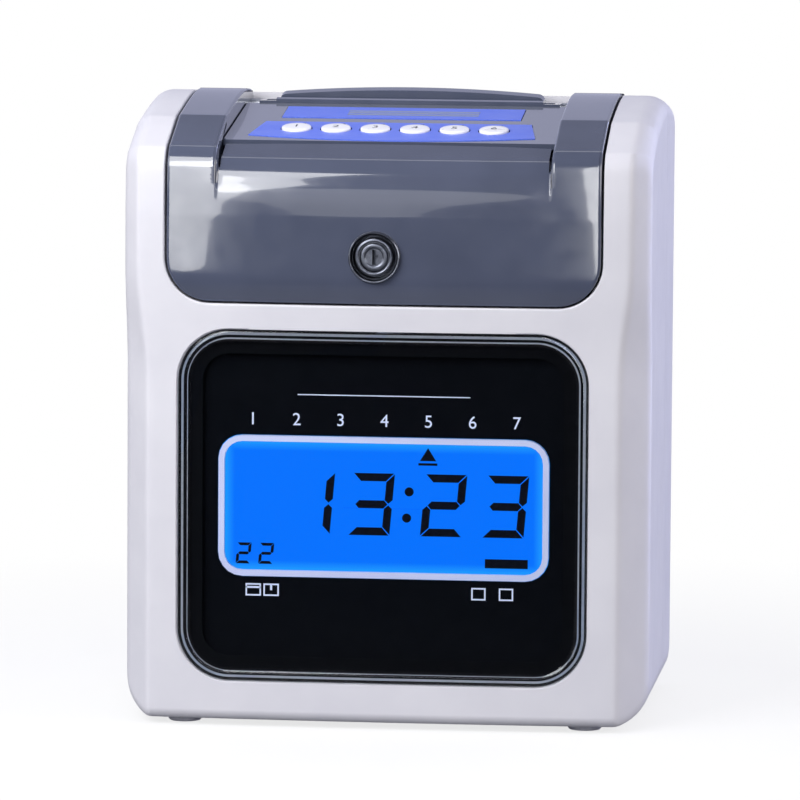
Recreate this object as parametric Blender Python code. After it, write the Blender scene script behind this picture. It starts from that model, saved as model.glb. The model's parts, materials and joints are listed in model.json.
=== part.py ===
# Punch card time clock at its real size, in metres, +Z up.
# Its front faces -Y, and the origin lies on the table under the middle of the clock.
# A place is given as x, the depth behind the middle of the front, and the height over the table.

import math

import bmesh
import bpy
from mathutils import Matrix, Vector

# Fits that every piece shares
GAP = 0.0003
RUNNING_GAP = 0.00009
OVERRUN = 0.002
MERGE_DISTANCE = 0.00001
FLAT_ANGLE = 0.0005
ROUND_SIDES = 24
SMALL_SIDES = 16

# Body
BODY_WIDTH = 0.220
BODY_DEPTH = 0.147
BODY_TOP = 0.2585
BASE_HEIGHT = 0.0025
WALL = 0.0025
CROWN_LOW = 0.0025
CROWN_HIGH = 0.0052
FACET_WIDTH_LOW = 0.0118
FACET_DEPTH_LOW = 0.0215
FACET_WIDTH_HIGH = 0.0074
FACET_DEPTH_HIGH = 0.0142
FACET_BLEND_LOW = 0.148
FACET_BLEND_HIGH = 0.192
CORNER_RADIUS = 0.014
EDGE_ROUND = 0.0045
TOP_ROUND = 0.009
BROW_RISE = 0.0455
SEAM_SETBACK = 0.045
CREST_SHARES = (
    (0.002, 0.16), (0.006, 0.34), (0.012, 0.50), (0.045, 0.63), (0.098, 0.725), (0.27, 0.87),
    (0.52, 0.98), (0.70, 1.0), (0.955, 0.90), (1.0, 0.80),
)
EDGE_STATION_SHARES = (0.0, 0.035, 0.14, 0.30)

# Lid with its two arms, and the bay that it closes
LID_GAP = 0.0005
LID_PROUD = 0.0008
LID_WALL = 0.0025
CHEEK_WIDTH = 0.0198
ARM_WIDTH = 0.0205
LID_LOW = 0.1778
LID_CORNER = 0.018
LIP_HEIGHT = 0.008
LIP_SETBACK = 0.0022
PANEL_RECESS = 0.0015
PANEL_DROP = 0.0045
PANEL_STEP = 0.0015
RECESS_RISE = 0.007
RECESS_LENGTH = 0.018
RIM_DEPTH = 0.0225
LID_FLANGE = 0.008
ARM_LOW = 0.234
PANEL_DEPTH = 0.022
ARM_END_RADIUS = 0.0055
HINGE_ROD_RADIUS = 0.002
HINGE_SETBACK = 0.003
LEDGE_DEPTH = 0.019
LID_OPEN_DEG = 70.0

# Lock in the lid
LOCK_OFFSET = -0.003
LOCK_HEIGHT = 0.1976
LOCK_REACH = 0.003
LOCK_RING_RADIUS = 0.0107
LOCK_WELL_RADIUS = 0.0094
LOCK_FACE_RADIUS = 0.0079
LOCK_BODY_RADIUS = 0.009
LOCK_PLUG_RADIUS = 0.006
LOCK_WELL_DEPTH = 0.0016
LOCK_BODY_LENGTH = 0.0135
LOCK_NUT_RADIUS = 0.0125
LOCK_NUT_THICKNESS = 0.003
KEYWAY_WIDTH = 0.0015
KEYWAY_HEIGHT = 0.0062
KEYWAY_DEPTH = 0.009
CAM_THICKNESS = 0.0022
CAM_WIDTH = 0.009
CAM_LENGTH = 0.0175
STRIKE_WIDTH = 0.024
STRIKE_HEIGHT = 0.0055
STRIKE_THICKNESS = 0.002
TANG_WIDTH = 0.005

# Window and display
WINDOW_SIDE = 0.0242
WINDOW_LOW = 0.0188
WINDOW_HIGH = 0.1664
WINDOW_CORNER = 0.022
LENS_SETBACK = 0.0008
LENS_THICKNESS = 0.0025
REBATE_WIDTH = 0.003
REBATE_DEPTH = 0.0105
MASK_THICKNESS = 0.0015
LCD_SIDE = 0.0168
LCD_LOW = 0.0625
LCD_HIGH = 0.1215
LCD_CORNER = 0.010
LCD_FRAME_WIDTH = 0.0025
LCD_FRAME_PROUD = 0.0005
LCD_THICKNESS = 0.0028
LCD_MARGIN = 0.0015
BACKLIGHT_THICKNESS = 0.0035
BOARD_THICKNESS = 0.0016
BOARD_STANDOFF = 0.002
DISPLAY_BOARD_MARGIN = 0.0092
DISPLAY_BOARD_LOW = 0.024
DISPLAY_BOARD_HIGH = 0.160
BOSS_RADIUS = 0.0035
BOSS_INSET = 0.006

# Card, slot and chute
CARD_SETBACK = 0.041
SLIT_MARGIN = 0.0167
SLIT_OPENING = 0.005
GROOVE_OPENING = 0.0066
GROOVE_HEIGHT = 0.0055
THROAT_SIDE_GAP = 0.0055
THROAT_TOP = 0.2545
THROAT_WALL = 0.0025
BAR_SIDE = 0.005
BAR_TOP = 0.260
BAR_THICKNESS = 0.0052
BAR_CORNER = 0.004
CHUTE_GAP = 0.0032
CHUTE_SHEET = 0.0012
CHUTE_LOW = 0.070

# Key deck in its own sloping frame
DECK_FRONT_HEIGHT = 0.2435
DECK_SLOPE_DEG = 7.5
DECK_THICKNESS = 0.0025
DECK_LEG = 0.006
LABEL_THICKNESS = 0.0005
LABEL_SINK = 0.0005
KEY_LABEL_FRONT = 0.0095
KEY_LABEL_LENGTH = 0.028
KEY_LABEL_FRONT_SIDE = 0.0092
KEY_LABEL_REAR_SIDE = 0.0132
KEY_LABEL_BOW = 0.0082
LABEL_SPACING = 0.0095
CARD_LABEL_SETBACK = 0.008
CARD_LABEL_SIDE = 0.0187
KEY_COUNT = 6
KEY_SIDE = 0.0145
KEY_SPACING = 0.0042
KEY_LENGTH = 0.015
KEY_PROUD = 0.0014
KEY_TRAVEL = 0.0012
KEY_FLANGE = 0.0012
KEY_STEM_RADIUS = 0.002
KEY_EDGE = 0.0006
SWITCH_SIZE = 0.006
SWITCH_HEIGHT = 0.0032
KEY_BOARD_DROP = 0.010
KEY_BOARD_MARGIN = 0.0083
KEY_BOARD_LENGTH = 0.020

# Frame of the print mechanism
FRAME_SHEET = 0.0016
GEAR_BAY = 0.0215
FRAME_LEAD = 0.006
FRAME_REACH = 0.011
ROD_OVERHANG = 0.0012
FRAME_LOW = 0.008
FRAME_TOP = 0.232
BRIDGE_SLOT_MARGIN = 0.0015
FOOT_BOSS_RADIUS = 0.005

# Print mechanism
PRINT_HEIGHT = 0.190
ROD_DROP = 0.018
GUIDE_ROD_SETBACK = 0.042
GUIDE_ROD_RADIUS = 0.003
LEAD_SCREW_SETBACK = 0.020
LEAD_SCREW_RADIUS = 0.004
THREAD_HEIGHT = 0.0009
THREAD_LEAD = 0.010
THREAD_STEPS = 4
SCREW_SIDES = 10
STUB_RADIUS = 0.0015
STUB_LENGTH = 0.006
JOURNAL_RADIUS = 0.0025
CARRIAGE_WIDTH = 0.030
CARRIAGE_HEIGHT = 0.012
CARRIAGE_MARGIN = 0.006
TRAVEL_MARGIN = 0.001
HEAD_WIDTH = 0.022
HEAD_DEPTH = 0.026
HEAD_HEIGHT = 0.024
NOSE_WIDTH = 0.009
NOSE_HEIGHT = 0.008
NOSE_LENGTH = 0.007
NOSE_TIP_SETBACK = 0.0041
FIN_COUNT = 4
FIN_SLOT = 0.0016
FIN_SLOT_DEPTH = 0.004
CARRIAGE_MOTOR_RADIUS = 0.014
CARRIAGE_MOTOR_LENGTH = 0.019
PLATEN_RADIUS = 0.005
PLATEN_SETBACK = 0.001
PLATEN_SIDE_GAP = 0.016
PRINT_WINDOW_MARGIN = 0.004
PRINT_WINDOW_BELOW = 0.009
PRINT_WINDOW_ABOVE = 0.014

# Card feed
FEED_DROP = 0.040
FEED_SHAFT_RADIUS = 0.003
FEED_ROLLER_RADIUS = 0.008
FEED_ROLLER_WIDTH = 0.010
FEED_ROLLER_SPREAD = 0.030
CARD_THICKNESS = 0.0005
NIP_GAP = 0.0001
PINCH_RADIUS = 0.005
PINCH_SHAFT_RADIUS = 0.002
ROLLER_WINDOW_MARGIN = 0.0015
GEAR_MODULE = 0.001
FEED_GEAR_TEETH = 36
PINION_TEETH = 12
GEAR_WIDTH = 0.005
GEAR_CENTRE_GAP = 0.00015
TOOTH_PLAY = 0.00022
PRESSURE_ANGLE_DEG = 20.0
ADDENDUM_SHARE = 0.85
DEDENDUM_SHARE = 1.15
PINION_ANGLE_DEG = 225.0
FEED_MOTOR_RADIUS = 0.0175
FEED_MOTOR_LENGTH = 0.022

# Ribbon
CRADLE_SETBACK = 0.066
CRADLE_PIVOT_DROP = 0.0135
CRADLE_EAR = 0.004
CRADLE_ROD_RADIUS = 0.002
CRADLE_LIFT_DEG = 4.0
CRADLE_SIDE_GAP = 0.0164
CRADLE_SHEET = 0.0015
CRADLE_TRAY_DEPTH = 0.025
CARTRIDGE_SIDE_GAP = 0.006
CARTRIDGE_DEPTH = 0.020
CARTRIDGE_HEIGHT = 0.016
CARTRIDGE_ARM = 0.004
RIBBON_HEIGHT = 0.013
RIBBON_THICKNESS = 0.0003
RIBBON_SETBACK = 0.0022
KNOB_RADIUS = 0.007
KNOB_HEIGHT = 0.004
KNOB_INSET = 0.026
KNOB_SPINDLE_RADIUS = 0.002
KNOB_LOBES = 12
KNOB_LOBE_HEIGHT = 0.0006

# Electrics behind the chute
MAIN_BOARD_SETBACK = 0.018
MAIN_BOARD_SIDE_GAP = 0.008
MAIN_BOARD_LOW = 0.060
MAIN_BOARD_HIGH = 0.208
BUZZER_RADIUS = 0.006
BUZZER_HEIGHT = 0.007
BUZZER_HOLE_RADIUS = 0.001
TRANSFORMER_WIDTH = 0.054
TRANSFORMER_DEPTH = 0.024
TRANSFORMER_HEIGHT = 0.044
COIL_WIDTH = 0.030
COIL_BULGE = 0.003
TRANSFORMER_GAP = 0.0045
BATTERY_CELL_RADIUS = 0.0065
BATTERY_CELL_PITCH = 0.0125
BATTERY_CELLS = 3
BATTERY_LENGTH = 0.050
BATTERY_OFFSET = -0.046
REAR_PART_SETBACK = 0.014

# Power inlet in the back wall
INLET_INSET = 0.022
INLET_HEIGHT = 0.048
INLET_BODY_WIDTH = 0.021
INLET_BODY_HEIGHT = 0.014
INLET_BODY_DEPTH = 0.018
INLET_WELL_WIDTH = 0.0162
INLET_WELL_HEIGHT = 0.0092
INLET_WELL_DEPTH = 0.012
INLET_PIN_RADIUS = 0.0012
INLET_PIN_SPREAD = 0.0043
INLET_PIN_LENGTH = 0.009

# Back wall, feet and case screws
KEYHOLE_OFFSET = 0.055
KEYHOLE_HEIGHT = 0.222
KEYHOLE_RADIUS = 0.0048
KEYHOLE_SLOT_RADIUS = 0.0023
KEYHOLE_SLOT_RISE = 0.008
VENT_COUNT = 7
VENT_WIDTH = 0.0024
VENT_HEIGHT = 0.026
VENT_PITCH = 0.007
VENT_OFFSET = 0.046
VENT_LOW = 0.062
FOOT_RADIUS = 0.007
FOOT_SINK = 0.0011
FOOT_INSET = 0.026
FOOT_FRONT_DEPTH = 0.020
FOOT_REAR_INSET = 0.016
SCREW_INSET = 0.0095
SCREW_LOW = 0.019
SCREW_HIGH = 0.224
SCREW_POST_RADIUS = 0.0045
SCREW_HEAD_RADIUS = 0.0032
SCREW_HEAD_HEIGHT = 0.0024
SCREW_SHANK_RADIUS = 0.0015
SCREW_SINK = 0.0035
SCREW_GRIP = 0.018
SCREW_SLOT = 0.0009

# Places that follow from the sizes above
HALF_WIDTH = BODY_WIDTH / 2
SHOULDER_HEIGHT = BODY_TOP - BROW_RISE
RECESS_LOW = SHOULDER_HEIGHT + RECESS_RISE
RECESS_HIGH = RECESS_LOW + RECESS_LENGTH
LID_HALF = HALF_WIDTH - CHEEK_WIDTH
CARD_DEPTH = BODY_DEPTH - CARD_SETBACK
SEAM_DEPTH = BODY_DEPTH - SEAM_SETBACK
WINDOW_WIDTH = BODY_WIDTH - WINDOW_SIDE * 2
LCD_WIDTH = WINDOW_WIDTH - LCD_SIDE * 2
DISPLAY_BOARD_WIDTH = WINDOW_WIDTH + DISPLAY_BOARD_MARGIN * 2
ARM_INNER = LID_HALF - ARM_WIDTH
THROAT_WIDTH = (ARM_INNER - THROAT_SIDE_GAP) * 2
GROOVE_WIDTH = THROAT_WIDTH - THROAT_WALL * 2
SLIT_WIDTH = GROOVE_WIDTH - SLIT_MARGIN * 2
BAR_WIDTH = GROOVE_WIDTH - BAR_SIDE * 2
THROAT_FRONT = CARD_DEPTH - GROOVE_OPENING / 2 - THROAT_WALL
BAR_FRONT = CARD_DEPTH + GROOVE_OPENING / 2
THROAT_REAR = BAR_FRONT + BAR_THICKNESS
HINGE_DEPTH = THROAT_REAR + HINGE_SETBACK
BAY_REAR = HINGE_DEPTH + ARM_END_RADIUS + LID_GAP + GAP
HINGE_ROD_HALF = LID_HALF + LID_GAP + WALL - GAP * 2
DECK_FRONT = RIM_DEPTH + LID_GAP
DECK_SLOPE = math.radians(DECK_SLOPE_DEG)
DECK_FLAT = THROAT_FRONT - GAP * 2 - DECK_FRONT - DECK_THICKNESS * math.sin(DECK_SLOPE)
DECK_LENGTH = DECK_FLAT / math.cos(DECK_SLOPE)
DECK_HALF = ARM_INNER - LID_GAP
KEY_LABEL_FRONT_WIDTH = (DECK_HALF - KEY_LABEL_FRONT_SIDE) * 2
KEY_LABEL_REAR_WIDTH = (DECK_HALF - KEY_LABEL_REAR_SIDE) * 2
CARD_LABEL_WIDTH = (DECK_HALF - CARD_LABEL_SIDE) * 2
CARD_LABEL_FRONT = KEY_LABEL_FRONT + KEY_LABEL_LENGTH + LABEL_SPACING
CARD_LABEL_LENGTH = DECK_LENGTH - CARD_LABEL_SETBACK - CARD_LABEL_FRONT
KEY_PITCH = (KEY_LABEL_REAR_WIDTH - KEY_SIDE * 2) / (KEY_COUNT - 1)
KEY_WIDTH = KEY_PITCH - KEY_SPACING
KEY_BOARD_WIDTH = KEY_PITCH * (KEY_COUNT - 1) + KEY_WIDTH + KEY_BOARD_MARGIN * 2
FRAME_HALF = HALF_WIDTH - WALL - GEAR_BAY
FRAME_INNER = FRAME_HALF - FRAME_SHEET
CRADLE_PIVOT_DEPTH = CARD_DEPTH - CRADLE_SETBACK
FRAME_FRONT = CRADLE_PIVOT_DEPTH - FRAME_LEAD
FRAME_REAR = CARD_DEPTH + FRAME_REACH
CRADLE_HALF_WIDTH = FRAME_INNER - CRADLE_SIDE_GAP
CARTRIDGE_HALF_WIDTH = CRADLE_HALF_WIDTH - CARTRIDGE_SIDE_GAP
KNOB_OFFSET = CARTRIDGE_HALF_WIDTH - KNOB_INSET
PRINT_WINDOW_HALF_WIDTH = CARTRIDGE_HALF_WIDTH + PRINT_WINDOW_MARGIN
PLATEN_HALF_WIDTH = PRINT_WINDOW_HALF_WIDTH - PLATEN_SIDE_GAP
CARRIAGE_TRAVEL = PLATEN_HALF_WIDTH - CARRIAGE_WIDTH / 2 - TRAVEL_MARGIN
MAIN_BOARD_HALF_WIDTH = FRAME_HALF - MAIN_BOARD_SIDE_GAP
MAIN_BOARD_DEPTH = CARD_DEPTH + MAIN_BOARD_SETBACK
REAR_PART_DEPTH = CARD_DEPTH + REAR_PART_SETBACK
INLET_OFFSET = HALF_WIDTH - INLET_INSET
TRANSFORMER_OFFSET = INLET_OFFSET - INLET_BODY_WIDTH / 2 - TRANSFORMER_GAP - TRANSFORMER_WIDTH / 2
FOOT_OFFSET = HALF_WIDTH - FOOT_INSET
FOOT_REAR_DEPTH = BODY_DEPTH - FOOT_REAR_INSET
SCREW_OFFSET = HALF_WIDTH - SCREW_INSET
BRIDGE_TOP = FRAME_TOP + GAP
CHUTE_FRONT = CARD_DEPTH - CHUTE_GAP / 2 - CHUTE_SHEET
CHUTE_REAR = CARD_DEPTH + CHUTE_GAP / 2
ROD_HEIGHT = PRINT_HEIGHT - ROD_DROP
GUIDE_ROD_DEPTH = CARD_DEPTH - GUIDE_ROD_SETBACK
LEAD_SCREW_DEPTH = CARD_DEPTH - LEAD_SCREW_SETBACK
FEED_HEIGHT = PRINT_HEIGHT - FEED_DROP
NIP = CARD_THICKNESS / 2 + NIP_GAP
FEED_DEPTH = CARD_DEPTH - NIP - FEED_ROLLER_RADIUS
PINCH_DEPTH = CARD_DEPTH + NIP + PINCH_RADIUS
PLATEN_DEPTH = CARD_DEPTH + PLATEN_SETBACK + PLATEN_RADIUS
FEED_GEAR_RADIUS = GEAR_MODULE * FEED_GEAR_TEETH / 2
PINION_RADIUS = GEAR_MODULE * PINION_TEETH / 2
GEAR_CENTRES = FEED_GEAR_RADIUS + PINION_RADIUS + GEAR_CENTRE_GAP
PINION_ANGLE = math.radians(PINION_ANGLE_DEG)
PINION_DEPTH = FEED_DEPTH + GEAR_CENTRES * math.cos(PINION_ANGLE)
PINION_HEIGHT = FEED_HEIGHT + GEAR_CENTRES * math.sin(PINION_ANGLE)
RIBBON_DEPTH = CARD_DEPTH - RIBBON_SETBACK - RIBBON_THICKNESS
CRADLE_HEIGHT = PRINT_HEIGHT - CRADLE_PIVOT_DROP
TRAY_TOP = PRINT_HEIGHT - CARTRIDGE_HEIGHT / 2 - GAP
BACK_INNER = BODY_DEPTH - WALL
MASK_DEPTH = REBATE_DEPTH + GAP
LCD_DEPTH = MASK_DEPTH + MASK_THICKNESS + GAP
BACKLIGHT_DEPTH = LCD_DEPTH + LCD_THICKNESS + GAP
DISPLAY_BOARD_DEPTH = BACKLIGHT_DEPTH + BACKLIGHT_THICKNESS + BOARD_STANDOFF
CAM_DEPTH = LOCK_BODY_LENGTH + GAP
STRIKE_FRONT = CAM_DEPTH - GAP - STRIKE_THICKNESS
SCREW_TIP = SEAM_DEPTH - SCREW_GRIP + WALL
SCREW_SEAT = BODY_DEPTH - SCREW_SINK


def along_y(depth):
    """The Y of a place that lies this far behind the middle of the front."""
    return depth - (BODY_DEPTH - LOCK_REACH) / 2


def at(x, depth, height):
    return Vector((x, along_y(depth), height))


# Finishes

def linear(hex_colour):
    """Linear red, green, blue and alpha from an sRGB hex colour."""
    parts = [int(hex_colour[place:place + 2], 16) / 255 for place in (0, 2, 4)]
    return [c / 12.92 if c <= 0.04045 else ((c + 0.055) / 1.055) ** 2.4 for c in parts] + [1.0]


def finish(name, hex_colour, roughness=0.4, metallic=0.0, alpha=1.0):
    material = bpy.data.materials.new(name)
    material.use_nodes = True
    shader = material.node_tree.nodes["Principled BSDF"]
    shader.inputs["Base Color"].default_value = linear(hex_colour)
    shader.inputs["Roughness"].default_value = roughness
    shader.inputs["Metallic"].default_value = metallic
    shader.inputs["Alpha"].default_value = alpha
    material.diffuse_color = linear(hex_colour)
    return material


# Solids from outlines and rings

def solid_from(points, faces):
    """An object of this mesh, with its faces split into triangles that point outwards."""
    mesh = bpy.data.meshes.new("solid")
    mesh.from_pydata([tuple(point) for point in points], [], faces)
    shape = bmesh.new()
    shape.from_mesh(mesh)
    bmesh.ops.triangulate(shape, faces=shape.faces[:])
    bmesh.ops.recalc_face_normals(shape, faces=shape.faces[:])
    shape.to_mesh(mesh)
    shape.free()
    solid = bpy.data.objects.new("solid", mesh)
    bpy.context.scene.collection.objects.link(solid)
    return solid


def loft(rings):
    """A closed solid through rings that have the same number of points, with flat ends."""
    count = len(rings[0])
    points = [point for ring in rings for point in ring]
    faces = [list(range(count)), list(range(len(points) - count, len(points)))]
    for low in range(0, len(points) - count, count):
        for i in range(count):
            j = (i + 1) % count
            faces.append([low + i, low + j, low + count + j, low + count + i])
    return solid_from(points, faces)


def prism_y(outline, front, rear):
    """An outline of x and height, filled from one depth to another."""
    return loft([[at(x, depth, height) for x, height in outline] for depth in (front, rear)])


def prism_x(outline, left, right):
    """An outline of depth and height, filled from one x to another."""
    return loft([[at(x, depth, height) for depth, height in outline] for x in (left, right)])


def block(x, depth, height):
    """A box between two values of each of x, depth and height."""
    corners = [(x[0], height[0]), (x[1], height[0]), (x[1], height[1]), (x[0], height[1])]
    return prism_y(corners, *depth)


def circle(a, b, radius, sides=ROUND_SIDES):
    """The points of a circle about (a, b), turned so that a flat side faces each axis."""
    turn = math.pi / sides
    angles = [turn + 2 * math.pi * i / sides for i in range(sides)]
    return [(a + radius * math.cos(angle), b + radius * math.sin(angle)) for angle in angles]


def rod_x(depth, height, radius, left, right, sides=ROUND_SIDES):
    return prism_x(circle(depth, height, radius, sides), left, right)


def rod_y(x, height, radius, front, rear, sides=ROUND_SIDES):
    return prism_y(circle(x, height, radius, sides), front, rear)


def rod_z(x, depth, radius, low, high, sides=ROUND_SIDES):
    ring = circle(x, depth, radius, sides)
    return loft([[at(a, b, height) for a, b in ring] for height in (low, high)])


def turned_z(x, depth, profile, sides=ROUND_SIDES):
    """A solid turned about an upright axis, from a profile of radius and height."""
    rings = [(circle(x, depth, radius, sides), height) for radius, height in profile]
    return loft([[at(a, b, height) for a, b in ring] for ring, height in rings])


def arc(a, b, radius, start_deg, end_deg, steps):
    """Points along an arc about (a, b)."""
    angles = [math.radians(start_deg + (end_deg - start_deg) * i / steps) for i in range(steps + 1)]
    return [(a + radius * math.cos(angle), b + radius * math.sin(angle)) for angle in angles]


def rounded(half_width, low, high, low_radius, high_radius=0.0, steps=6, centre=0.0):
    """A rectangle seen from the front, with rounded lower and upper corners."""
    points = []
    corners = (
        (1, low + low_radius, low_radius, -90),
        (1, high - high_radius, high_radius, 0),
        (-1, high - high_radius, high_radius, 90),
        (-1, low + low_radius, low_radius, 180),
    )
    for side, height, radius, start in corners:
        x = centre + side * (half_width - radius)
        points += arc(x, height, radius, start, start + 90, steps) if radius else [(x, height)]
    return points


# Cutting and joining

def combine(solid, tool, operation):
    modifier = solid.modifiers.new("combine", "BOOLEAN")
    modifier.operation = operation
    modifier.solver = "EXACT"
    modifier.object = tool
    graph = bpy.context.evaluated_depsgraph_get()
    old = solid.data
    mesh = bpy.data.meshes.new_from_object(solid.evaluated_get(graph))
    solid.modifiers.clear()
    solid.data = mesh
    bpy.data.meshes.remove(old)
    bpy.data.objects.remove(tool)
    return solid


def cut(solid, *tools):
    for tool in tools:
        combine(solid, tool, "DIFFERENCE")
    return solid


def join(solid, *others):
    for other in others:
        combine(solid, other, "UNION")
    return solid


def common(solid, other):
    return combine(solid, other, "INTERSECT")


def holder_at(name, place, holder=None):
    """An empty on the axis of a moving body, which carries that body's pieces."""
    empty = bpy.data.objects.new(name, None)
    bpy.context.scene.collection.objects.link(empty)
    empty.empty_display_size = WALL
    if holder:
        empty.parent = holder
        empty.location = place - holder.matrix_world.translation
    else:
        empty.location = place
    bpy.context.view_layer.update()
    return empty


def middle(solid):
    corners = [Vector(corner) for corner in solid.bound_box]
    return sum(corners, Vector()) / len(corners)


def clean(mesh):
    """Joins each flat area into few faces, and closes corners and slits that a cut left hair-thin."""
    shape = bmesh.new()
    shape.from_mesh(mesh)
    bmesh.ops.remove_doubles(shape, verts=shape.verts[:], dist=MERGE_DISTANCE)
    bmesh.ops.dissolve_limit(shape, angle_limit=FLAT_ANGLE, verts=shape.verts[:], edges=shape.edges[:])
    bmesh.ops.triangulate(shape, faces=shape.faces[:])
    slits = [edge for edge in shape.edges if edge.is_boundary]
    bmesh.ops.holes_fill(shape, edges=slits)
    bmesh.ops.recalc_face_normals(shape, faces=shape.faces[:])
    shape.to_mesh(mesh)
    shape.free()


def settle(solid, name, material, holder=None, pivot=None, frame=None):
    """Names a piece, gives it its finish and its origin, and hangs it on its holder."""
    clean(solid.data)
    solid.name = name
    solid.data.name = name
    solid.data.materials.clear()
    solid.data.materials.append(material)
    origin = middle(solid) if pivot is None else pivot
    solid.data.transform(Matrix.Translation(-origin))
    place = (frame or Matrix()) @ Matrix.Translation(origin)
    if holder:
        solid.parent = holder
        place = holder.matrix_world.inverted() @ place
    solid.matrix_basis = place
    solid.data.shade_smooth()
    solid.data.set_sharp_from_angle(angle=math.radians(30))
    return solid


# Outer form of the body

def blend(value, low, high):
    """0 below low, 1 above high, and a smooth step between them."""
    share = min(max((value - low) / (high - low), 0.0), 1.0)
    return share * share * (3 - 2 * share)


def between(low, high, share):
    return low + (high - low) * share


def front_depth(x, height):
    """How far the front lies behind its foremost point: a shallow bow, then the side facet."""
    facet_share = blend(height, FACET_BLEND_LOW, FACET_BLEND_HIGH)
    facet_width = between(FACET_WIDTH_LOW, FACET_WIDTH_HIGH, facet_share)
    facet_depth = between(FACET_DEPTH_LOW, FACET_DEPTH_HIGH, facet_share)
    crown = between(CROWN_LOW, CROWN_HIGH, facet_share)
    corner = HALF_WIDTH - facet_width
    bow = CROWN_HIGH - crown * (1 - min(abs(x) / corner, 1.0) ** 2)
    return bow + facet_depth * max(abs(x) - corner, 0.0) / facet_width


def quarter_drop(reach, radius):
    """How far a rounded edge has fallen at this reach from the middle."""
    inside = max(reach - (HALF_WIDTH - radius), 0.0)
    return radius - math.sqrt(max(radius * radius - inside * inside, 0.0))


def crest_points(x, rise):
    """The top of a slice, from the shoulder over the brow to the back."""
    points = []
    for depth_share, height_share in CREST_SHARES:
        height = SHOULDER_HEIGHT + rise * height_share
        points.append((between(front_depth(x, height), BODY_DEPTH, depth_share), height))
    return points


def crest_height(depth):
    """The height of the top at this depth, halfway between the middle and a side."""
    points = crest_points(HALF_WIDTH / 2, BODY_TOP - SHOULDER_HEIGHT)
    for (near, low), (far, high) in zip(points, points[1:]):
        if near <= depth <= far:
            return between(low, high, (depth - near) / (far - near))
    return BODY_TOP


def body_profile(x):
    """The outline of depth and height of a slice across the body."""
    low = BASE_HEIGHT + quarter_drop(abs(x), CORNER_RADIUS)
    rise = BODY_TOP - quarter_drop(abs(x), TOP_ROUND) - SHOULDER_HEIGHT
    start = low + EDGE_ROUND
    front = front_depth(x, low)
    points = [(front + EDGE_ROUND - a, start - b) for a, b in arc(0.0, 0.0, EDGE_ROUND, 90, 0, 3)]
    levels = 5
    heights = [between(FACET_BLEND_LOW, FACET_BLEND_HIGH, i / levels) for i in range(levels + 1)]
    points += [(front_depth(x, height), height) for height in heights + [SHOULDER_HEIGHT]]
    points += crest_points(x, rise)
    points += [(BODY_DEPTH - EDGE_ROUND + a, start - b) for a, b in arc(0.0, 0.0, EDGE_ROUND, 0, 90, 2)]
    return points


def lid_profile(x):
    """The outline of a slice across the lid: the body's own line, with its lip and sunk panel."""
    heights = [LID_LOW - OVERRUN, LID_LOW, LID_LOW + LIP_HEIGHT, FACET_BLEND_HIGH, SHOULDER_HEIGHT]
    points = [(BODY_DEPTH, LID_LOW - OVERRUN)]
    points += [(front_depth(x, height), height) for height in heights]
    points += crest_points(x, BODY_TOP - SHOULDER_HEIGHT)
    profile = []
    for depth, height in points:
        lip_share = min(max((LID_LOW + LIP_HEIGHT - height) / LIP_HEIGHT, 0.0), 1.0)
        depth += LIP_SETBACK * lip_share
        if abs(x) < ARM_INNER - PANEL_STEP / 2:
            sunk_share = blend(height, RECESS_LOW, RECESS_HIGH)
            depth += PANEL_RECESS * sunk_share
            height -= PANEL_DROP * sunk_share
        profile.append((depth, height))
    return profile


def inset_matrix(inset):
    """Draws a form in about the body's middle, until each outer face has moved by the inset."""
    centre = at(0.0, BODY_DEPTH / 2, (BODY_TOP + BASE_HEIGHT) / 2)
    sizes = (BODY_WIDTH, BODY_DEPTH, BODY_TOP - BASE_HEIGHT)
    shrink = Matrix.Diagonal([1 - 2 * inset / size for size in sizes] + [1.0])
    return Matrix.Translation(centre) @ shrink @ Matrix.Translation(-centre)


def form(reaches, profile, inset):
    """A solid through slices on both sides of the middle, at reaches that end at zero."""
    stations = [-reach for reach in reaches] + list(reversed(reaches[:-1]))
    solid = loft([[at(x, depth, height) for depth, height in profile(x)] for x in stations])
    solid.data.transform(inset_matrix(inset))
    return solid


def body_form(inset=0.0):
    reaches = [HALF_WIDTH - CORNER_RADIUS * share for share in EDGE_STATION_SHARES]
    reaches += [HALF_WIDTH - FACET_WIDTH_HIGH, HALF_WIDTH - FACET_WIDTH_LOW]
    reaches += [LID_HALF, LID_HALF * 2 / 3, LID_HALF / 3, 0.0]
    return form(reaches, body_profile, inset)


def lid_form(inset):
    reaches = [LID_HALF + OVERRUN, ARM_INNER, ARM_INNER - PANEL_STEP, ARM_INNER * 2 / 3, ARM_INNER / 3, 0.0]
    return form(reaches, lid_profile, inset)


HINGE_HEIGHT = crest_height(HINGE_DEPTH) + LID_PROUD - ARM_END_RADIUS


# Outlines that pieces share

def lid_outline(grow):
    """The lid's edge seen from the front, moved out by an amount."""
    return rounded(LID_HALF + grow, LID_LOW - grow, BODY_TOP + CORNER_RADIUS, LID_CORNER + grow)


def window_outline(grow):
    radius = WINDOW_CORNER + grow
    return rounded(WINDOW_WIDTH / 2 + grow, WINDOW_LOW - grow, WINDOW_HIGH + grow, radius, radius)


def lcd_outline(grow):
    radius = LCD_CORNER + grow
    return rounded(LCD_WIDTH / 2 + grow, LCD_LOW - grow, LCD_HIGH + grow, radius, radius, 5)


def bay(front=-OVERRUN * 2):
    """The space that the lid and its arms fill, from the front to the hinge."""
    return prism_y(lid_outline(LID_GAP), front, BAY_REAR)


def both_sides(x, depths, heights):
    """The four places at these depths or heights, on both sides of the middle."""
    return [(side * x, value) for value in depths + heights for side in (-1, 1)]


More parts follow.
